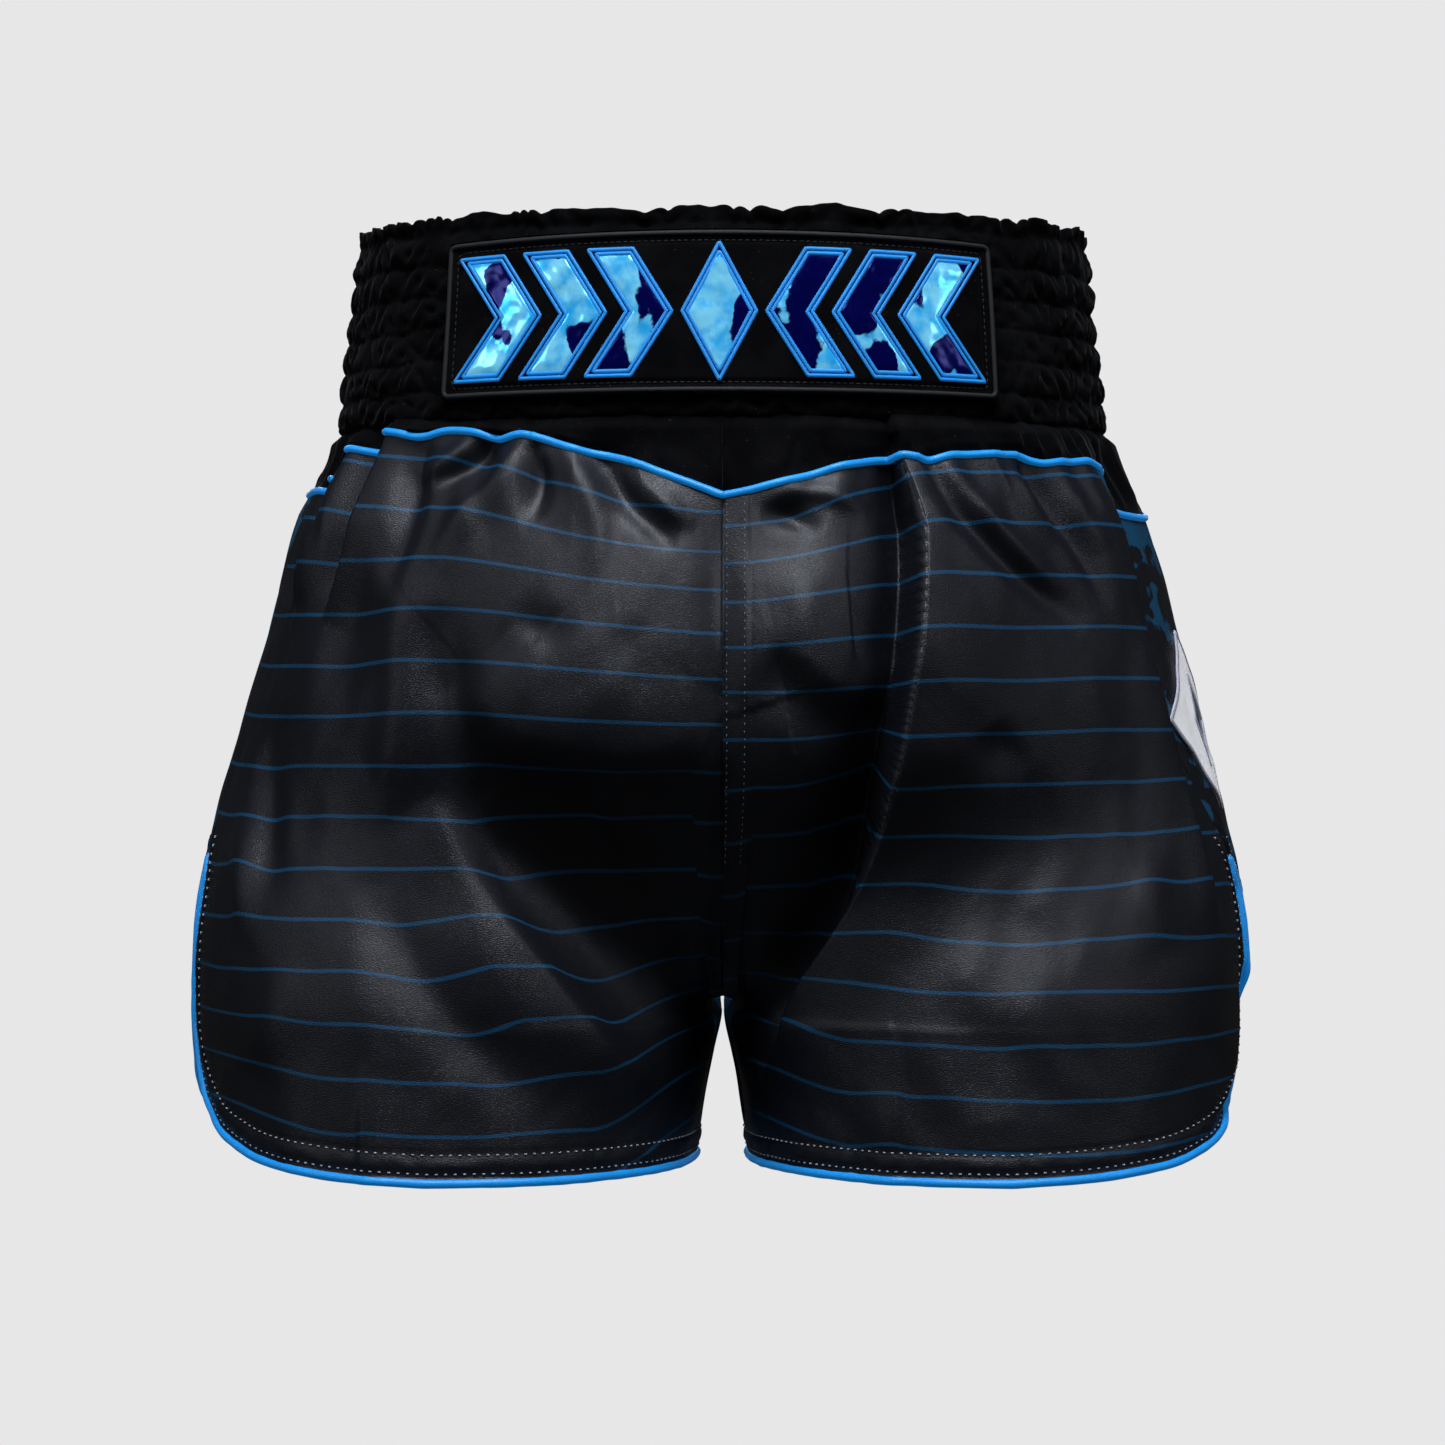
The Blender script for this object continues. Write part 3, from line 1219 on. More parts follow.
@dataclass
class Quarter:
    """A quarter of the garment.

    Attributes:
        pattern: where its edges run.
        face: back or front.
        side: left or right.
    """

    pattern: Pattern
    face: Face
    side: Side

    @property
    def tag(self) -> str:
        """Face and side in the CAD nodes' words."""
        return f"{self.face.name.lower()}_{self.side.name.lower()}"

    @property
    def satin(self) -> Satin:
        """The satin that this quarter's leg is cut from."""
        return STRIPED if self.face is Face.BACK else PRINTED


@dataclass
class LegPanel(Quarter):
    """One satin panel from the yoke seam to the hem, with its facing, piping and two rows of stitches.

    Attributes:
        rows: points down it.
        across: points across its plain part and its swept corner.
        thick: the cloth's thickness.
        piping_radius: half the hem piping's width.
        stitch_rows: insets of the stitch rows.
    """

    rows: int = 196
    across: tuple = (176, 44)
    thick: float = 0.7
    piping_radius: float = 1.75
    stitch_rows: tuple = (2.6, 9.8)

    def build(self) -> None:
        """Builds the panel and all that is sewn to it."""
        self.build_cloth()
        self.build_facing()
        self.build_piping()
        self.build_stitches()

    def cloth_grid(self) -> tuple[Array, Array, Array]:
        """The panel's grid: shares across it, levels and angles.

        Each row lies an even share of the way from the yoke seam to the hem.
        """
        u = self.pattern.columns(*self.across)[None, :]
        v = np.linspace(0.0, 1.0, self.rows)[:, None]
        rough = self.pattern.spot(u, np.full_like(u, SEAM_LEVEL), self.face, self.side.value)
        top = self.pattern.top(rough, self.side.value) + 0.6
        level = top + (self.pattern.bottom(u) - 1.2 - top) * v
        angle = self.pattern.spot(u, level, self.face, self.side.value)
        return u + 0.0 * v, level, angle

    def build_cloth(self) -> None:
        """Builds the panel itself: the draped cloth with a stitched band along its free edge."""
        u, level, angle = self.cloth_grid()
        inset = self.edge_distance(u, level)
        near, far = self.stitch_rows
        near, far = near + 1.0, far + 1.0
        band = 0.55 * np.exp(-(((inset - (near + far) / 2) / 3.0) ** 4))
        ripple = Waves(5)(level * 0 + angle * 130.0 / 3.1, level / 3.1)
        band += 0.35 * ripple * np.exp(-(((inset - (near + far) / 2) / 4.5) ** 2))
        band -= 0.45 * np.exp(-(((inset - near) / 0.9) ** 2)) + 0.5 * np.exp(-(((inset - far) / 0.9) ** 2))
        points = self.pattern.drape.place(level, angle, self.side.value, band)
        if self.face is Face.BACK and self.side is Side.RIGHT:
            points = self.raise_fell(points, level)
        outward = self.outward(points)
        points, faces = slab(points, grid_normals(points, outward), self.thick)
        name = f"{self.face.name.lower()}_panel_{self.side.name.lower()}"
        cloth = self.cloth_uv(level, angle)
        piece = mesh_piece(name + "_cloth", points, faces, self.satin, np.concatenate([cloth, cloth]))
        finish_piece(piece, self.satin.name, name)

    def edge_distance(self, u: Array, level: Array) -> Array:
        """How far each point near the free edge is from it, measured on the flat cloth."""
        rim = self.pattern.rim(0.0, self.pattern.vent_level)
        result = np.full(level.shape, 99.0)
        near = (self.pattern.bottom(u) - level < 40.0) | ((u > 0.86) & (level > self.pattern.vent_level - 30.0))
        x, y = ((1.0 - u) * self.pattern.width + 0.0 * level)[near], level[near]
        result[near] = np.hypot(x[:, None] - rim[:, 0], y[:, None] - rim[:, 1]).min(1)
        return result

    def raise_fell(self, points: Array, level: Array) -> Array:
        """Raises the felled seam's strip, ten millimetres wide beside the centre seam."""
        x = points[..., 0]
        strip = smoothstep(-0.5, 0.6, x) * (1.0 - smoothstep(9.6, 10.6, x)) * smoothstep(330.0, 290.0, level)
        out = np.zeros_like(points)
        out[..., 1] = -0.6 * strip
        return points + out

    def outward(self, points: Array) -> Array:
        """A rough outward direction: away from the leg's or the trunk's middle line."""
        middle = np.zeros_like(points)
        middle[..., 0] = self.side.value * 100.0 * smoothstep(190.0, 320.0, -points[..., 2])
        middle[..., 2] = points[..., 2]
        return points - middle

    def cloth_uv(self, level: Array, angle: Array) -> Array:
        """Cloth coordinates in metres: across by angle, and down by level with the sag that stripes show."""
        drape, side = self.pattern.drape, self.side.value
        smooth = drape.form.outline(level, angle, side)
        x = np.abs(smooth[..., 0])
        depth_sag = through((95.0, 125.0, 138.0, 154.0, 171.0, 188.0, 205.0, 232.0),
                            (25.0, 21.0, 15.5, 10.5, 8.0, 4.8, 2.7, 0.0), level)
        sag = depth_sag * smoothstep(124.0 if self.side is Side.LEFT else 86.0, 0.0, x)
        lift = (15.0 - 5.0 * side) * smoothstep(52.0, 6.0, x) * smoothstep(262.0, 335.0, level)
        lift += (7.5 - 2.5 * side) * smoothstep(150.0, 208.0, x) * smoothstep(285.0, 350.0, level)
        ripple = 0.6 * np.clip(drape.height(smooth, angle), -6.0, 5.0) * smoothstep(190.0, 275.0, level)
        down = level - sag + lift + ripple + 1.4 * Waves(31)(angle * 3.0 + side, level / 60.0)
        down = down + 7.0 * (self.side is Side.LEFT)
        across = angle * ROUND + 200.0 + 340.0 * side * (self.face is Face.FRONT)
        return np.stack([across * MM, down * MM], -1).reshape(-1, 2)

    def build_facing(self) -> None:
        """Builds the hem's turned-up facing, a strip that lies inside along the free edge."""
        insets = np.array([1.4, 5.0, 9.0, 13.0, 16.5, 19.0])
        rims = np.stack([self.pattern.rim(inset, self.pattern.vent_level + 2.0) for inset in insets])
        level = rims[..., 1]
        angle = self.pattern.spot(1.0 - rims[..., 0] / self.pattern.width, level, self.face, self.side.value)
        at, normal = self.pattern.drape.frame_at(level, angle, self.side.value)
        curl = np.array([0.0, 0.15, 0.1, 0.15, 0.1, 0.0])[:, None, None]
        front = at - normal * (self.thick + 0.35 + curl)
        points, faces = slab(front, normal, 0.6)
        uv = self.cloth_uv(level, angle)
        piece = mesh_piece(f"hem_facing_{self.tag}_cloth", points, faces, self.satin, np.concatenate([uv, uv]))
        finish_piece(piece, self.satin.name, f"hem_facing_{self.tag}")

    def build_piping(self) -> None:
        """Builds the piping round the vent and the hem: a satin tube let into the cloth's edge."""
        level, angle = self.pattern.edge(self.face, self.side.value, 0.0, 1.5)
        at, normal = self.pattern.drape.frame_at(level, angle, self.side.value)
        at, normal = evenly(at, normal, step=1.4)
        swell = 1.0 + 0.05 * Waves(41)(np.arange(len(at)) / 4.0, np.zeros(len(at)))
        points, faces = tube(at - normal * 0.3, unit(normal), self.piping_radius * swell, self.piping_radius * swell)
        piece = mesh_piece(f"hem_piping_{self.tag}_cord", points, faces, PIPING)
        tidy_mesh(piece)
        finish_piece(piece, "piping_blue", f"hem_piping_{self.tag}")

    def build_stitches(self) -> None:
        """Builds two rows of stitches along the free edge, and two down the fell on the right back panel."""
        parts = []
        for inset in self.stitch_rows:
            start = self.pattern.vent_level - inset + 2.0
            level, angle = self.pattern.edge(self.face, self.side.value, inset + 1.0, 1.5, start)
            at, normal = self.pattern.drape.frame_at(level, angle, self.side.value, 0.05)
            parts.append(stitches(at, normal, 3.6, 1.25, 0.62))
        if self.face is Face.BACK and self.side is Side.RIGHT:
            fell = []
            for x in (1.6, 8.4):
                level = np.linspace(113.0, 250.0, 90)
                angle = -HALF_PI + x / through(self.pattern.drape.form.levels,
                                               self.pattern.drape.form.half_widths, level)
                at, normal = self.pattern.drape.frame_at(level, angle, 1, 0.0)
                at[..., 1] -= 0.7
                fell.append(stitches(at, normal, 3.0, 1.0, 0.34))
            piece = mesh_piece("fell_stitches", *joined(fell), GREY_THREAD)
            finish_piece(piece, "label_white")
        piece = mesh_piece(f"hem_stitches_{self.tag}", *joined(parts), PALE_THREAD)
        finish_piece(piece, "label_white")


@dataclass
class YokePiece(Quarter):
    """One velvet quarter of the yoke, with the piping in the seam below it.

    Attributes:
        top_level: depth of its upper edge, under the band's foot.
        cord_radius: half the piping's width.
    """

    top_level: float = 77.0
    cord_radius: float = 1.5

    def build(self) -> None:
        """Builds the velvet and its piping."""
        u = np.linspace(0.0, 1.0, 150)[None, :]
        v = np.linspace(0.0, 1.0, 26)[:, None]
        rough = self.pattern.spot(u, np.full_like(u, SEAM_LEVEL), self.face, self.side.value)
        low = self.pattern.top(rough, self.side.value) - 0.4
        level = self.top_level + (low - self.top_level) * v
        angle = rough + 0.0 * level
        inside = -2.2 * smoothstep(84.0, 77.0, level)
        fan = angle * 115.0 + 6.0 * Waves(62)(angle * 9.0, level / 40.0)
        soft = 1.2 * Waves(61)(fan / 11.0, level / 26.0) + 3.0 * np.abs(Waves(63)(fan / 5.5, level / 60.0)) ** 0.7
        soft = (soft - 0.6) * smoothstep(77.0, 84.0, level) * smoothstep(1.0, 0.72, v)
        points = self.pattern.drape.place(level, angle, self.side.value, inside + soft)
        outward = points * np.array([1.0, 1.0, 0.0])
        points, faces = slab(points, grid_normals(points, outward), 0.9)
        piece = mesh_piece(f"yoke_{self.tag}_velvet", points, faces, VELVET)
        finish_piece(piece, "velvet_black", f"yoke_{self.tag}")
        self.build_piping()

    def build_piping(self) -> None:
        """Builds the piping in lengths: a pleat's upper layer hides where the next one starts."""
        u = np.linspace(0.0, 1.0, 900)
        angle = self.pattern.spot(u, np.full_like(u, SEAM_LEVEL), self.face, self.side.value)
        level = self.pattern.top(angle, self.side.value)
        steps = np.flatnonzero(np.abs(np.diff(level)) > 2.0) + 1
        parts = []
        for inside in np.split(np.arange(len(level)), steps):
            if len(inside) < 18:
                continue
            inside = inside[2:-2] if len(steps) else inside
            at, normal = self.pattern.drape.frame_at(level[inside], angle[inside], self.side.value)
            at, normal = evenly(at, normal, step=1.3)
            parts.append(tube(at + normal * 0.1, normal, self.cord_radius, self.cord_radius))
        piece = mesh_piece(f"yoke_piping_{self.tag}_cord", *joined(parts), PIPING)
        tidy_mesh(piece)
        finish_piece(piece, "piping_blue", f"yoke_piping_{self.tag}")


@dataclass
class Waistband:
    """The gathered velvet band: six shirred rows, a frill above them, and a plain facing inside.

    Attributes:
        form: the smooth shape.
        rows: elastic rows.
        heading: height of the frill.
        pitch: from one row of stitches to the next.
        height: the band's height.
        puckers: gathers round the band.
        around: points round it.
        down: points down its outside.
        cloth: depth of the whole band from its outside to the facing.
        half_widths: outside half widths at the top edge and at the foot.
        half_depths: outside half depths there.
    """

    form: Form
    rows: int = 6
    heading: float = 5.0
    pitch: float = 12.5
    height: float = 80.0
    puckers: int = 92
    around: int = 880
    down: int = 96
    cloth: float = 3.0
    half_widths: tuple = (149.0, 158.0)
    half_depths: tuple = (105.0, 111.0)

    def ring(self, turn: Array, level: Array, lift: Array | float) -> Array:
        """Points of the band: an ellipse that widens downwards, moved out along its normal by lift.

        Args:
            turn: angles round it from the right side, anticlockwise from above.
            level: depths, negative above the top edge.
            lift: millimetres outwards.

        Returns:
            Points in millimetres.
        """
        wide = np.interp(level, (0.0, self.height), self.half_widths)
        deep = np.interp(level, (0.0, self.height), self.half_depths)
        x, y = wide * np.cos(turn), deep * np.sin(turn)
        out = unit(np.stack([np.cos(turn) / wide, np.sin(turn) / deep, np.zeros_like(turn + level)], -1))
        return np.stack([x, y, -level + 0.0 * x], -1) + out * np.asarray(lift)[..., None]

    def relief(self, turn: Array, level: Array) -> Array:
        """How far the gathered velvet stands out.

        Each row swells as a power of a sine between its stitch rows. Across it run gathers: rounded ridges with
        sharp valleys, at places that wander and lean from row to row, and that fade into the pinched rows.
        """
        place = turn / (2 * math.pi)
        waver = 1.5 * Waves(70)(place * 64.0, level / 24.0)
        row = np.floor((level + waver - self.heading) / self.pitch)
        share = np.clip((level + waver - self.heading) / self.pitch - row, 0.0, 1.0)
        above = row < 0
        share = np.where(above, 0.5 + 0.3 * smoothstep(self.heading, -1.0, level), share)
        swell = np.where(above, smoothstep(self.heading + 0.5, 1.0, level), np.sin(math.pi * share) ** 0.55)
        seed = row * 7.3
        jitter = 0.9 * Waves(71)(place * 64.0, seed) + 0.5 * Waves(72)(place * 128.0 % 64, seed + 3.0)
        lean = (share - 0.5) * (0.9 + 0.6 * Waves(73)(place * 32.0, seed))
        falling = self.ridge(place * self.puckers * 0.62 + jitter + lean)
        rising = self.ridge(place * self.puckers * 0.47 - 0.8 * jitter - 1.3 * lean + 0.31)
        size = 0.8 + 0.45 * Waves(74)(place * 64.0, seed + 11.0)
        height = swell * (0.4 + size * (2.3 * np.maximum(falling, 0.85 * rising) + 0.7 * falling * rising)) - 2.6
        pinch = self.ridge(place * self.puckers * 1.1 + jitter) * 0.8 * (1 - swell)
        return height + pinch + 0.15 * Waves(75)(place * 640.0 % 64, level / 1.4)

    @staticmethod
    def ridge(turns: Array) -> Array:
        """A row of rounded ridges with sharp valleys, one for each whole turn, from 0 to 1."""
        return 1.0 - np.abs(2.0 * (turns - np.floor(turns)) - 1.0) ** 2.2

    def build(self) -> None:
        """Builds the velvet and the facing, and dresses the elastic inside."""
        self.build_velvet()
        self.build_facing()
        for row in range(self.rows):
            dress(f"elastic_row_{row + 1}", WEBBING)

    def build_velvet(self) -> None:
        """Builds the velvet tube: down its outside, and back up its inside under the frill's rolled top."""
        turn = np.linspace(0.0, 2 * math.pi, self.around, endpoint=False)[None, :]
        outside = np.linspace(-0.6, self.height, self.down)[:, None]
        lift = self.relief(turn, outside)
        place = turn / (2 * math.pi)
        scallop = 1.9 * self.ridge(place * self.puckers * 0.55 + 1.1 * Waves(76)(place * 64.0, 0 * turn))
        scallop += 1.3 * Waves(77)(place * 64.0, 0 * turn) + 0.5 * Waves(78)(place * 192.0 % 64, 0 * turn)
        crown = self.ring(turn, outside, lift)
        crown[..., 2] += scallop * smoothstep(9.0, 0.0, outside)
        tuck = smoothstep(self.height - 3.0, self.height, outside)
        crown -= self.outward(turn) * (tuck * 1.2)[..., None]
        inner_levels = np.array([self.height, 60.0, 40.0, 20.0, 8.0, 3.0, 0.6])[:, None]
        inside = self.ring(turn, inner_levels, -self.cloth + 0.0 * turn)
        inside[-1, :, 2] += (scallop * 0.8)[0]
        inside[-2, :, 2] += (scallop * 0.4)[0]
        rolled = (crown[:1] + inside[-1:]) / 2 + np.array([0.0, 0.0, 0.9])
        points = np.concatenate([rolled, crown, inside])
        faces = grid_faces(len(points), self.around, wrap_rows=True, wrap_columns=True)
        outward = np.concatenate([rolled * 0 + [0, 0, 1.0], crown * [1, 1, 0], -inside * [1, 1, 0]])
        faces = outward_faces(points, faces, outward)
        piece = mesh_piece("waistband_velvet", points, faces, VELVET)
        finish_piece(piece, "velvet_black", "velvet_band")

    @staticmethod
    def outward(turn: Array) -> Array:
        """Level unit vectors away from the centre line."""
        return np.stack([np.cos(turn), np.sin(turn), np.zeros_like(turn)], -1)

    def build_facing(self) -> None:
        """Builds the facing that closes the channels inside: softly gathered, pinched at each row of stitches."""
        turn = np.linspace(0.0, 2 * math.pi, 560, endpoint=False)[None, :]
        level = np.linspace(2.0, self.height - 0.5, 60)[:, None]
        place = turn / (2 * math.pi)
        row = np.floor((level - self.heading) / self.pitch)
        share = np.clip((level - self.heading) / self.pitch - row, 0.0, 1.0)
        swell = np.sin(math.pi * share) ** 0.7
        gather = np.abs(np.sin(math.pi * (place * 70 + Waves(81)(place * 64.0, level / 20.0))))
        lift = -5.65 + 0.45 * (1 - swell) + 0.35 * swell * gather
        inner = self.ring(turn, level, lift)
        outer = self.ring(turn, level[::-1], -4.95 + 0.0 * turn)
        points = np.concatenate([inner, outer])
        faces = grid_faces(len(points), 560, wrap_rows=True, wrap_columns=True)
        outward = np.concatenate([-inner * [1, 1, 0], outer * [1, 1, 0]])
        faces = outward_faces(points, faces, outward)
        piece = mesh_piece("waistband_facing", points, faces, FACING)
        finish_piece(piece, "facing_black", "band_facing")


@dataclass
class Badge:
    """The padded badge on the back of the band, its corded rim, and its foil shapes with stitched outlines.

    Attributes:
        band: the band it is sewn to.
        half_width: half its width seen from behind.
        top: depth of its upper edge.
        height: its height.
        proud: how far its face stands out of the band.
        rim: width of its corded rim.
        chevron: stroke, nose, pitch and first end of the chevrons, and their half height.
        lozenge: half width and half height of the middle shape.
    """

    band: Waistband
    half_width: float = 106.0
    top: float = 9.5
    height: float = 61.5
    proud: float = 2.4
    rim: float = 3.0
    chevron: tuple = (13.0, 14.0, 25.0, 97.0, 22.0)
    lozenge: tuple = (12.0, 22.0)

    def place(self, x: Array, depth: Array, lift: Array | float) -> Array:
        """Points over the badge's face.

        Args:
            x: distances from the centre, seen from behind.
            depth: depths below the band's top.
            lift: millimetres above the badge's face.

        Returns:
            Points in millimetres.
        """
        share = (depth - self.top) / self.height
        spread = x * (0.985 + 0.03 * share) - 1.2
        wide = np.interp(depth, (0.0, self.band.height), self.band.half_widths)
        turn = -HALF_PI + np.arcsin(np.clip(spread / wide, -1, 1))
        bow = 2.4 * (1 - (x / self.half_width) ** 2)
        wave = 0.5 * Waves(91)(x / 30.0 + 9, depth / 40.0)
        shifted = depth - bow * np.interp(depth, (self.top, self.top + self.height), (1.0, 0.2))
        return self.band.ring(turn, shifted, self.proud + wave + lift)

    def build(self) -> None:
        """Builds the ground, the rim, the shapes and their outlines, and dresses what lies inside the band."""
        self.build_ground()
        self.build_rim()
        self.build_shapes()
        self.build_labels()

    def build_ground(self) -> None:
        """Builds the velvet ground: a slab with a softly padded face that falls to its stitched edge."""
        u = np.linspace(-1.0, 1.0, 260)[None, :]
        v = np.linspace(-1.0, 1.0, 80)[:, None]
        x, depth = u * (self.half_width - 0.8), self.top + self.height * (v + 1) / 2 + 0.0 * u
        side = (1 - np.abs(u)) * self.half_width
        flat = (1 - np.abs(v)) * self.height / 2
        inset = np.minimum(side + 0 * v, flat + 0 * u)
        lift = 0.3 * smoothstep(0.0, 9.0, inset) - 0.9 * np.exp(-(((inset - 4.3) / 0.8) ** 2))
        front = self.place(x + 0 * v, depth, lift)
        points, faces = slab(front, unit(front * [1, 1, 0]), 2.6)
        piece = mesh_piece("badge_ground", points, faces, VELVET)
        finish_piece(piece, "velvet_black", "badge_base")

    def outline(self, inset: float, step: float = 1.2) -> tuple[Array, Array]:
        """A line round the badge at an inset from its edge, with small round corners."""
        half, high, corner = self.half_width - inset, self.height / 2 - inset, 2.0
        bend = np.linspace(0, HALF_PI, 6)
        runs = []
        for turn in range(4):
            middle = np.array([[1, 1], [-1, 1], [-1, -1], [1, -1]][turn]) * [half - corner, high - corner]
            angle = bend + turn * HALF_PI
            runs.append(middle + corner * np.stack([np.cos(angle), np.sin(angle)], -1))
        loop = np.concatenate([*runs, runs[0][:1]])
        (loop,) = evenly(loop, step=step)
        return loop[:-1, 0], self.top + self.height / 2 - loop[:-1, 1]

    def build_rim(self) -> None:
        """Builds the rim: a cord wrapped in close stitches, and a line of run stitches inside it."""
        x, depth = self.outline(self.rim / 2, 0.55)
        path = self.place(x, depth, 0.1)
        up = unit(path * [1, 1, 0])
        ridge = 1.0 + 0.09 * np.where(np.arange(len(path)) % 2, 1.0, -1.0)
        points, faces = tube(path, up, 1.0 * ridge, 0.95 * ridge, 10, closed=True)
        piece = mesh_piece("badge_rim_cord", points, faces, CHARCOAL)
        finish_piece(piece, "thread_charcoal", "badge_rim")
        x, depth = self.outline(4.3, 1.0)
        path = self.place(x, depth, -0.45)
        sewn = mesh_piece("badge_run_stitches", *stitches(path, unit(path * [1, 1, 0]), 2.6, 2.0, 0.5), DARK_THREAD)
        finish_piece(sewn, "thread_black")

    def chevrons(self) -> list[tuple[float, int]]:
        """Start and direction of each chevron: three on each side that point at the middle."""
        _stroke, _nose, pitch, first, _half = self.chevron
        return [(way * (-first + pitch * place), way) for way in (1, -1) for place in range(3)]

    def build_shapes(self) -> None:
        """Builds the foil shapes and their double outlines."""
        stroke, nose, _pitch, _first, half = self.chevron
        middle = self.top + self.height / 2
        shapes, lines = [], []
        for start, way in self.chevrons():
            s = np.linspace(-1, 1, 49)[:, None]
            t = np.linspace(0, 1, 17)[None, :]
            x = start + way * (nose * (1 - np.abs(s)) + t * stroke)
            shapes.append(self.puffed(x, middle + s * half + 0 * t, s, t))
            corners = [(0, -1), (stroke, -1), (stroke + nose, 0), (stroke, 1), (0, 1), (nose, 0)]
            lines.append([(start + way * a, middle + half * b) for a, b in corners])
        wide, high = self.lozenge
        s = np.linspace(-1, 1, 49)[:, None]
        t = np.linspace(0, 1, 17)[None, :]
        shapes.append(self.puffed((2 * t - 1) * wide * (1.02 - np.abs(s)), middle + s * high + 0 * t, s, t))
        lines.append([(wide, middle), (0, middle - high), (-wide, middle), (0, middle + high)])
        piece = mesh_piece("badge_foil", *joined(shapes), FOIL)
        finish_piece(piece, "foil_blue", "badge_foil_shapes")
        threads = []
        for corners in lines:
            threads.append(self.satin_line(corners, 1.75, 0.72))
            threads.append(self.satin_line(corners, 0.05, 0.78))
        piece = mesh_piece("badge_outlines", *joined(threads), BLUE_THREAD)
        finish_piece(piece, "thread_blue", "badge_outline_stitching")

    def puffed(self, x: Array, depth: Array, s: Array, t: Array) -> tuple[Array, Array]:
        """A foil shape: its face swells from its edges and is softly crumpled, over a closed slab."""
        edge = np.clip(np.minimum(1 - np.abs(s), 2.2 * np.minimum(t, 1 - t)) * 6.0, 0, 1)
        crumple = 0.35 * Waves(95)(x / 5.0 + 40, depth / 7.0) + 0.18 * Waves(96)(x / 2.2 + 40, depth / 2.6)
        front = self.place(x, depth, 0.35 + 0.75 * np.sqrt(edge) + crumple * edge)
        return slab(front, unit(front * [1, 1, 0]), 1.2)

    def satin_line(self, corners: list, grow: float, half: float) -> tuple[Array, Array]:
        """A closed line of close stitches round a shape: a flat tube whose width steps at each thread.

        Args:
            corners: the shape's corners, as x and depth.
            grow: millimetres that the line lies outside the shape.
            half: half the line's width.

        Returns:
            Points and faces.
        """
        loop = np.array(corners, float)
        before, after = unit(loop - np.roll(loop, 1, 0)), unit(np.roll(loop, -1, 0) - loop)
        area = (loop[:, 0] * np.roll(loop[:, 1], -1) - np.roll(loop[:, 0], -1) * loop[:, 1]).sum()
        out_before = np.stack([before[:, 1], -before[:, 0]], -1) * np.sign(area)
        out_after = np.stack([after[:, 1], -after[:, 0]], -1) * np.sign(area)
        mitre = (out_before + out_after) / np.maximum(1 + (out_before * out_after).sum(-1, keepdims=True), 0.35)
        loop = loop + mitre * grow
        (loop,) = evenly(np.concatenate([loop, loop[:1]]), step=0.42)
        loop = loop[:-1]
        path = self.place(loop[:, 0], loop[:, 1], 0.62)
        ridge = 1.0 + 0.14 * np.where(np.arange(len(path)) % 2, 1.0, -1.0)
        return tube(path, unit(path * [1, 1, 0]), half * ridge, 0.5 * ridge, 6, closed=True)

    def build_labels(self) -> None:
        """Dresses the two blank labels and the buttonholes inside the band."""
        for name, finish in (("size_label", LABEL), ("care_label", LABEL), ("drawcord_buttonholes", DARK_THREAD)):
            dress(name, finish)


@dataclass
class Applique:
    """A white kite with a slot in it on the right side, edged with close stitches.

    Attributes:
        pattern: gives the cloth that it is sewn to.
        middle: y and depth of its centre.
        half: half its width and half its height.
        slot: the slot's share of that width and height.
    """

    pattern: Pattern
    middle: tuple = (-23.0, 195.0)
    half: tuple = (27.0, 35.5)
    slot: tuple = (0.24, 0.52)

    def place(self, y: Array, depth: Array, lift: float) -> tuple[Array, Array]:
        """Points and normals of the cloth under places given by y and depth."""
        angle = self.pattern.drape.form.angle_at(depth, y)
        return self.pattern.drape.frame_at(depth, angle, 1, lift)

    def kite(self, share: Array, turn: Array) -> tuple[Array, Array]:
        """Places on a kite: the four sides in even steps of turn, at a share of the way in to the slot.

        A side runs straight between the ends of the kite's two axes.
        """
        corner = np.floor(turn) % 4
        along = turn - np.floor(turn)
        axes = np.array([[0, -1], [1, 0], [0, 1], [-1, 0]], float)
        here, onward = axes[corner.astype(int)], axes[(corner.astype(int) + 1) % 4]
        point = here * (1 - along)[..., None] + onward * along[..., None]
        wide = self.half[0] * (1 + (self.slot[0] - 1) * share)
        high = self.half[1] * (1 + (self.slot[1] - 1) * share)
        return self.middle[0] + point[..., 0] * wide, self.middle[1] + point[..., 1] * high

    def build(self) -> None:
        """Builds the white ground and the stitched edges round it and round its slot."""
        turn = np.linspace(0.0, 4.0, 161)[:-1]
        share = np.linspace(0.0, 1.0, 14)
        y, depth = self.kite(share[:, None] + 0 * turn, turn[None, :] + 0 * share[:, None])
        front, normal = self.place(y, depth, 0.9)
        back, _normal = self.place(y, depth, 0.15)
        points = np.concatenate([front, back[::-1]])
        faces = grid_faces(28, 160, wrap_rows=True, wrap_columns=True)
        faces = outward_faces(points, faces, np.concatenate([normal, -normal[::-1]]))
        piece = mesh_piece("applique_ground", points, faces, WHITE_SATIN)
        finish_piece(piece, "applique_white", "side_applique")
        threads = []
        for share_in in (0.0, 1.0):
            fine = np.linspace(0.0, 4.0, 321)[:-1]
            y, depth = self.kite(share_in + 0 * fine, fine)
            at, up = self.place(y, depth, 0.75)
            loop, up = evenly(np.concatenate([at, at[:1]]), np.concatenate([up, up[:1]]), step=0.5)
            ridge = 1.0 + 0.12 * np.where(np.arange(len(loop) - 1) % 2, 1.0, -1.0)
            threads.append(tube(loop[:-1], up[:-1], 1.1 * ridge, 0.6 * ridge, 6, closed=True))
        piece = mesh_piece("applique_stitching", *joined(threads), LILAC_THREAD)
        finish_piece(piece, "applique_edge", "side_applique_edge")


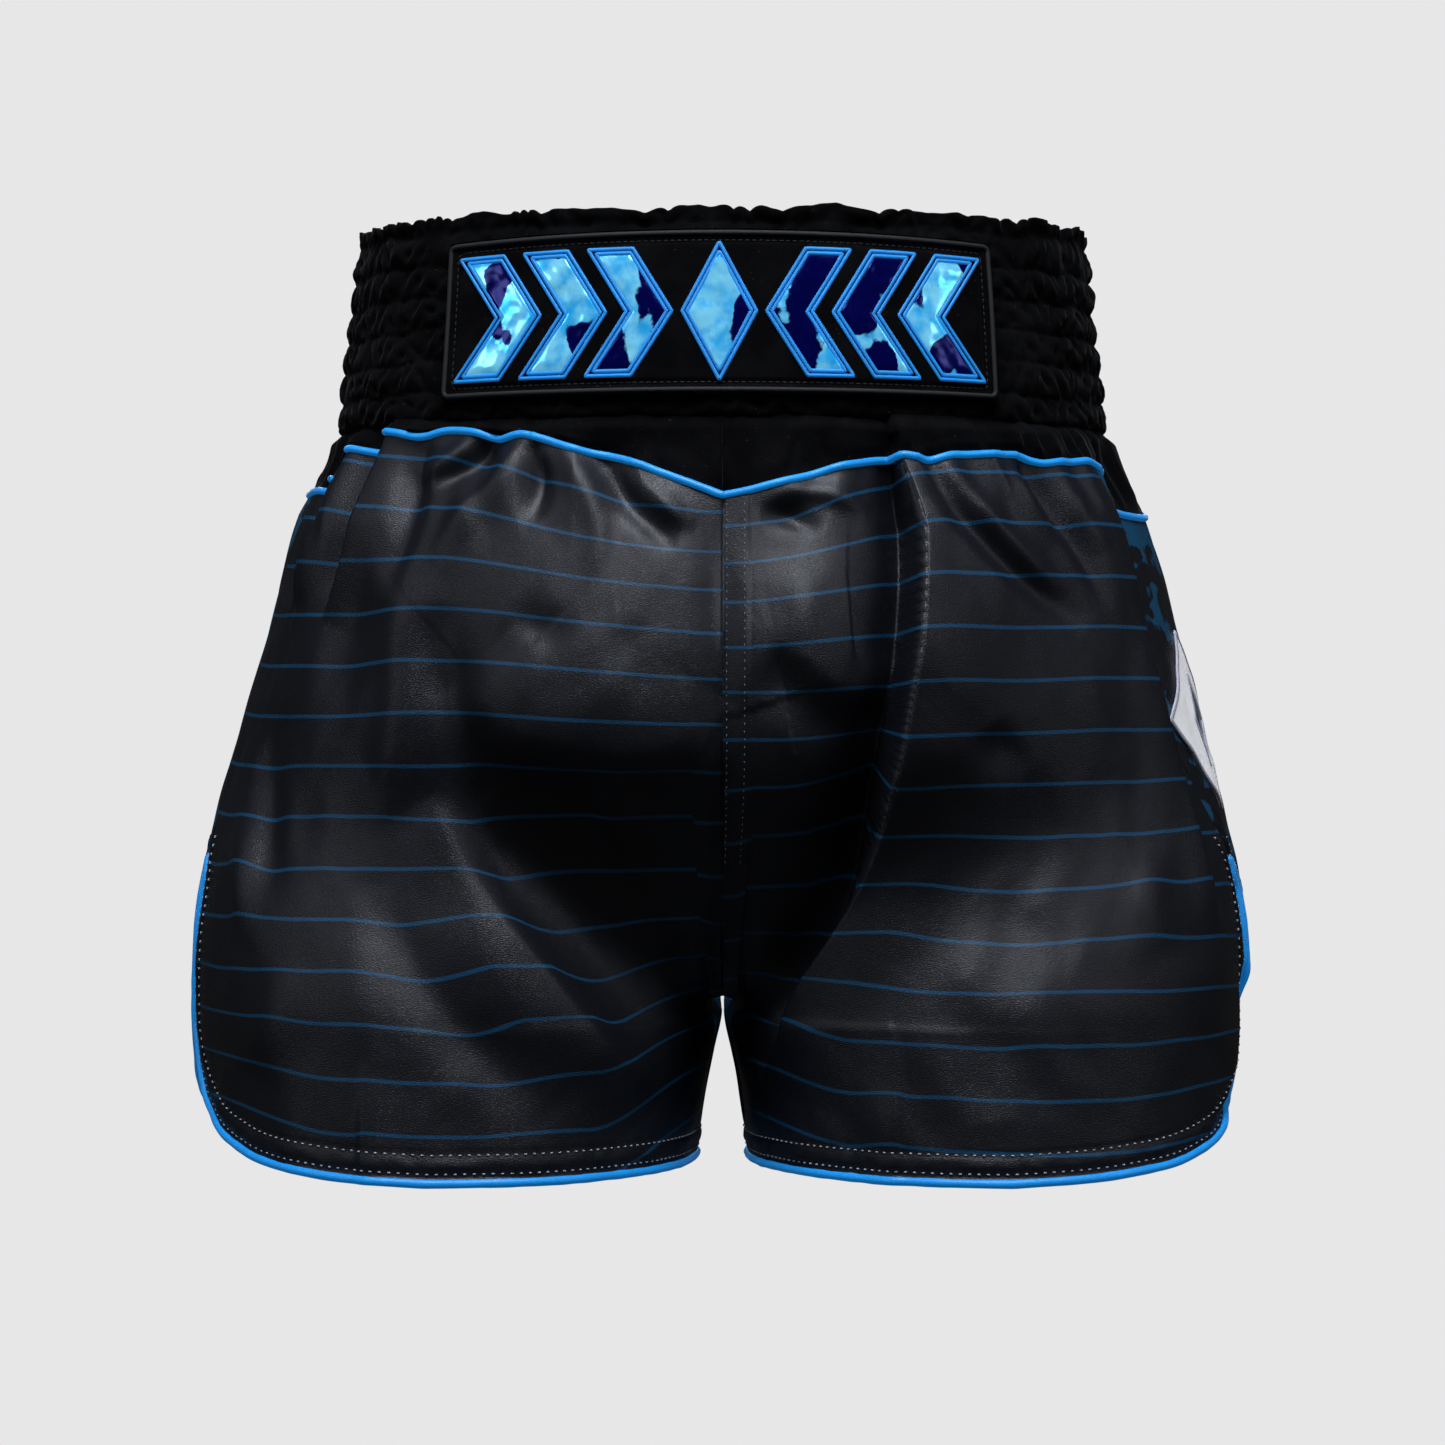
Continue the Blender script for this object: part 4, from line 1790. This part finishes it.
@dataclass
class Studio:
    """A pale seamless sweep, soft lights and the camera straight behind the shorts.

    Attributes:
        distance: from the camera to the middle of the shorts, in metres.
        height: the camera's height.
        view_width: width of what it sees at that distance.
        air: strength of the world's even glow.
    """

    distance: float = 1.6
    height: float = -0.196
    view_width: float = 0.5925
    air: float = 0.035

    def build(self) -> None:
        """Builds the sweep, the lights and the camera."""
        bpy.context.scene.view_settings.view_transform = "Standard"
        self.build_sweep()
        self.build_lights()
        data = bpy.data.cameras.new("camera")
        data.sensor_width = 36.0
        data.lens = data.sensor_width * self.distance / self.view_width
        data.clip_end = 50.0
        camera = bpy.data.objects.new("camera", data)
        camera.location = (0.0, -self.distance, self.height)
        camera.rotation_euler = (HALF_PI, 0.0, 0.0)
        bpy.context.scene.collection.objects.link(camera)
        bpy.context.scene.camera = camera

    def build_sweep(self) -> None:
        """Builds the floor and backdrop as one sheet: level, then a quarter circle, then upright."""
        bend = np.linspace(-HALF_PI, 0.0, 24)
        radius, back, floor, reach = 900.0, 1900.0, -900.0, 6000.0
        y = np.concatenate([[-reach, 0.0], back - radius + radius * np.cos(bend), [back]])
        z = np.concatenate([[floor, floor], floor + radius + radius * np.sin(bend), [5000.0]])
        x = np.linspace(-reach, reach, 5)
        points = np.stack([np.broadcast_to(x, (len(y), 5)), np.broadcast_to(y[:, None], (len(y), 5)),
                           np.broadcast_to(z[:, None], (len(y), 5))], -1)
        faces = outward_faces(points, grid_faces(len(y), 5), points * 0 + np.array([0.0, -0.6, 0.8]))
        sweep = mesh_piece("studio_sweep", points, faces, PAPER)
        sweep.visible_diffuse = sweep.visible_glossy = False

    def build_lights(self) -> None:
        """Adds the world's glow and the soft boxes."""
        world = bpy.data.worlds.new("studio_air")
        world.use_nodes = True
        air = world.node_tree.nodes["Background"]
        air.inputs["Color"].default_value = (1.0, 1.0, 1.0, 1.0)
        air.inputs["Strength"].default_value = self.air
        bpy.context.scene.world = world
        boxes = (
            ("top", (0.0, -0.75, 1.15), 0.7, 27.0),
            ("key_left", (-1.6, -0.9, 0.55), 0.5, 3.4),
            ("key_right", (1.6, -0.9, 0.55), 0.5, 3.0),
            ("front_fill", (0.0, 2.0, 1.1), 1.4, 50.0),
        )
        for name, where, size, power in boxes:
            data = bpy.data.lights.new(name, "AREA")
            data.shape, data.size, data.energy, data.color = "SQUARE", size, power, (0.92, 0.965, 1.05)
            light = bpy.data.objects.new(name, data)
            light.location = where
            aim = -np.array(where) + np.array([0.0, 0.0, -0.2])
            flat = math.hypot(aim[0], aim[1])
            light.rotation_euler = (math.atan2(flat, -aim[2]), 0.0, math.atan2(aim[1], aim[0]) - HALF_PI)
            bpy.context.scene.collection.objects.link(light)


def main() -> None:
    """Builds the shorts piece by piece, then the studio."""
    logging.basicConfig(level=logging.INFO, format="%(name)s: %(message)s")
    form = Form()
    drape = Drape(form, BACK_FOLDS, FRONT_FOLDS)
    pattern = Pattern(drape)
    band = Waistband(form)
    band.build()
    for face in Face:
        for side in Side:
            YokePiece(pattern, face, side).build()
            LegPanel(pattern, face, side).build()
    Badge(band).build()
    Applique(pattern).build()
    Studio().build()


if __name__ == "__main__":
    main()
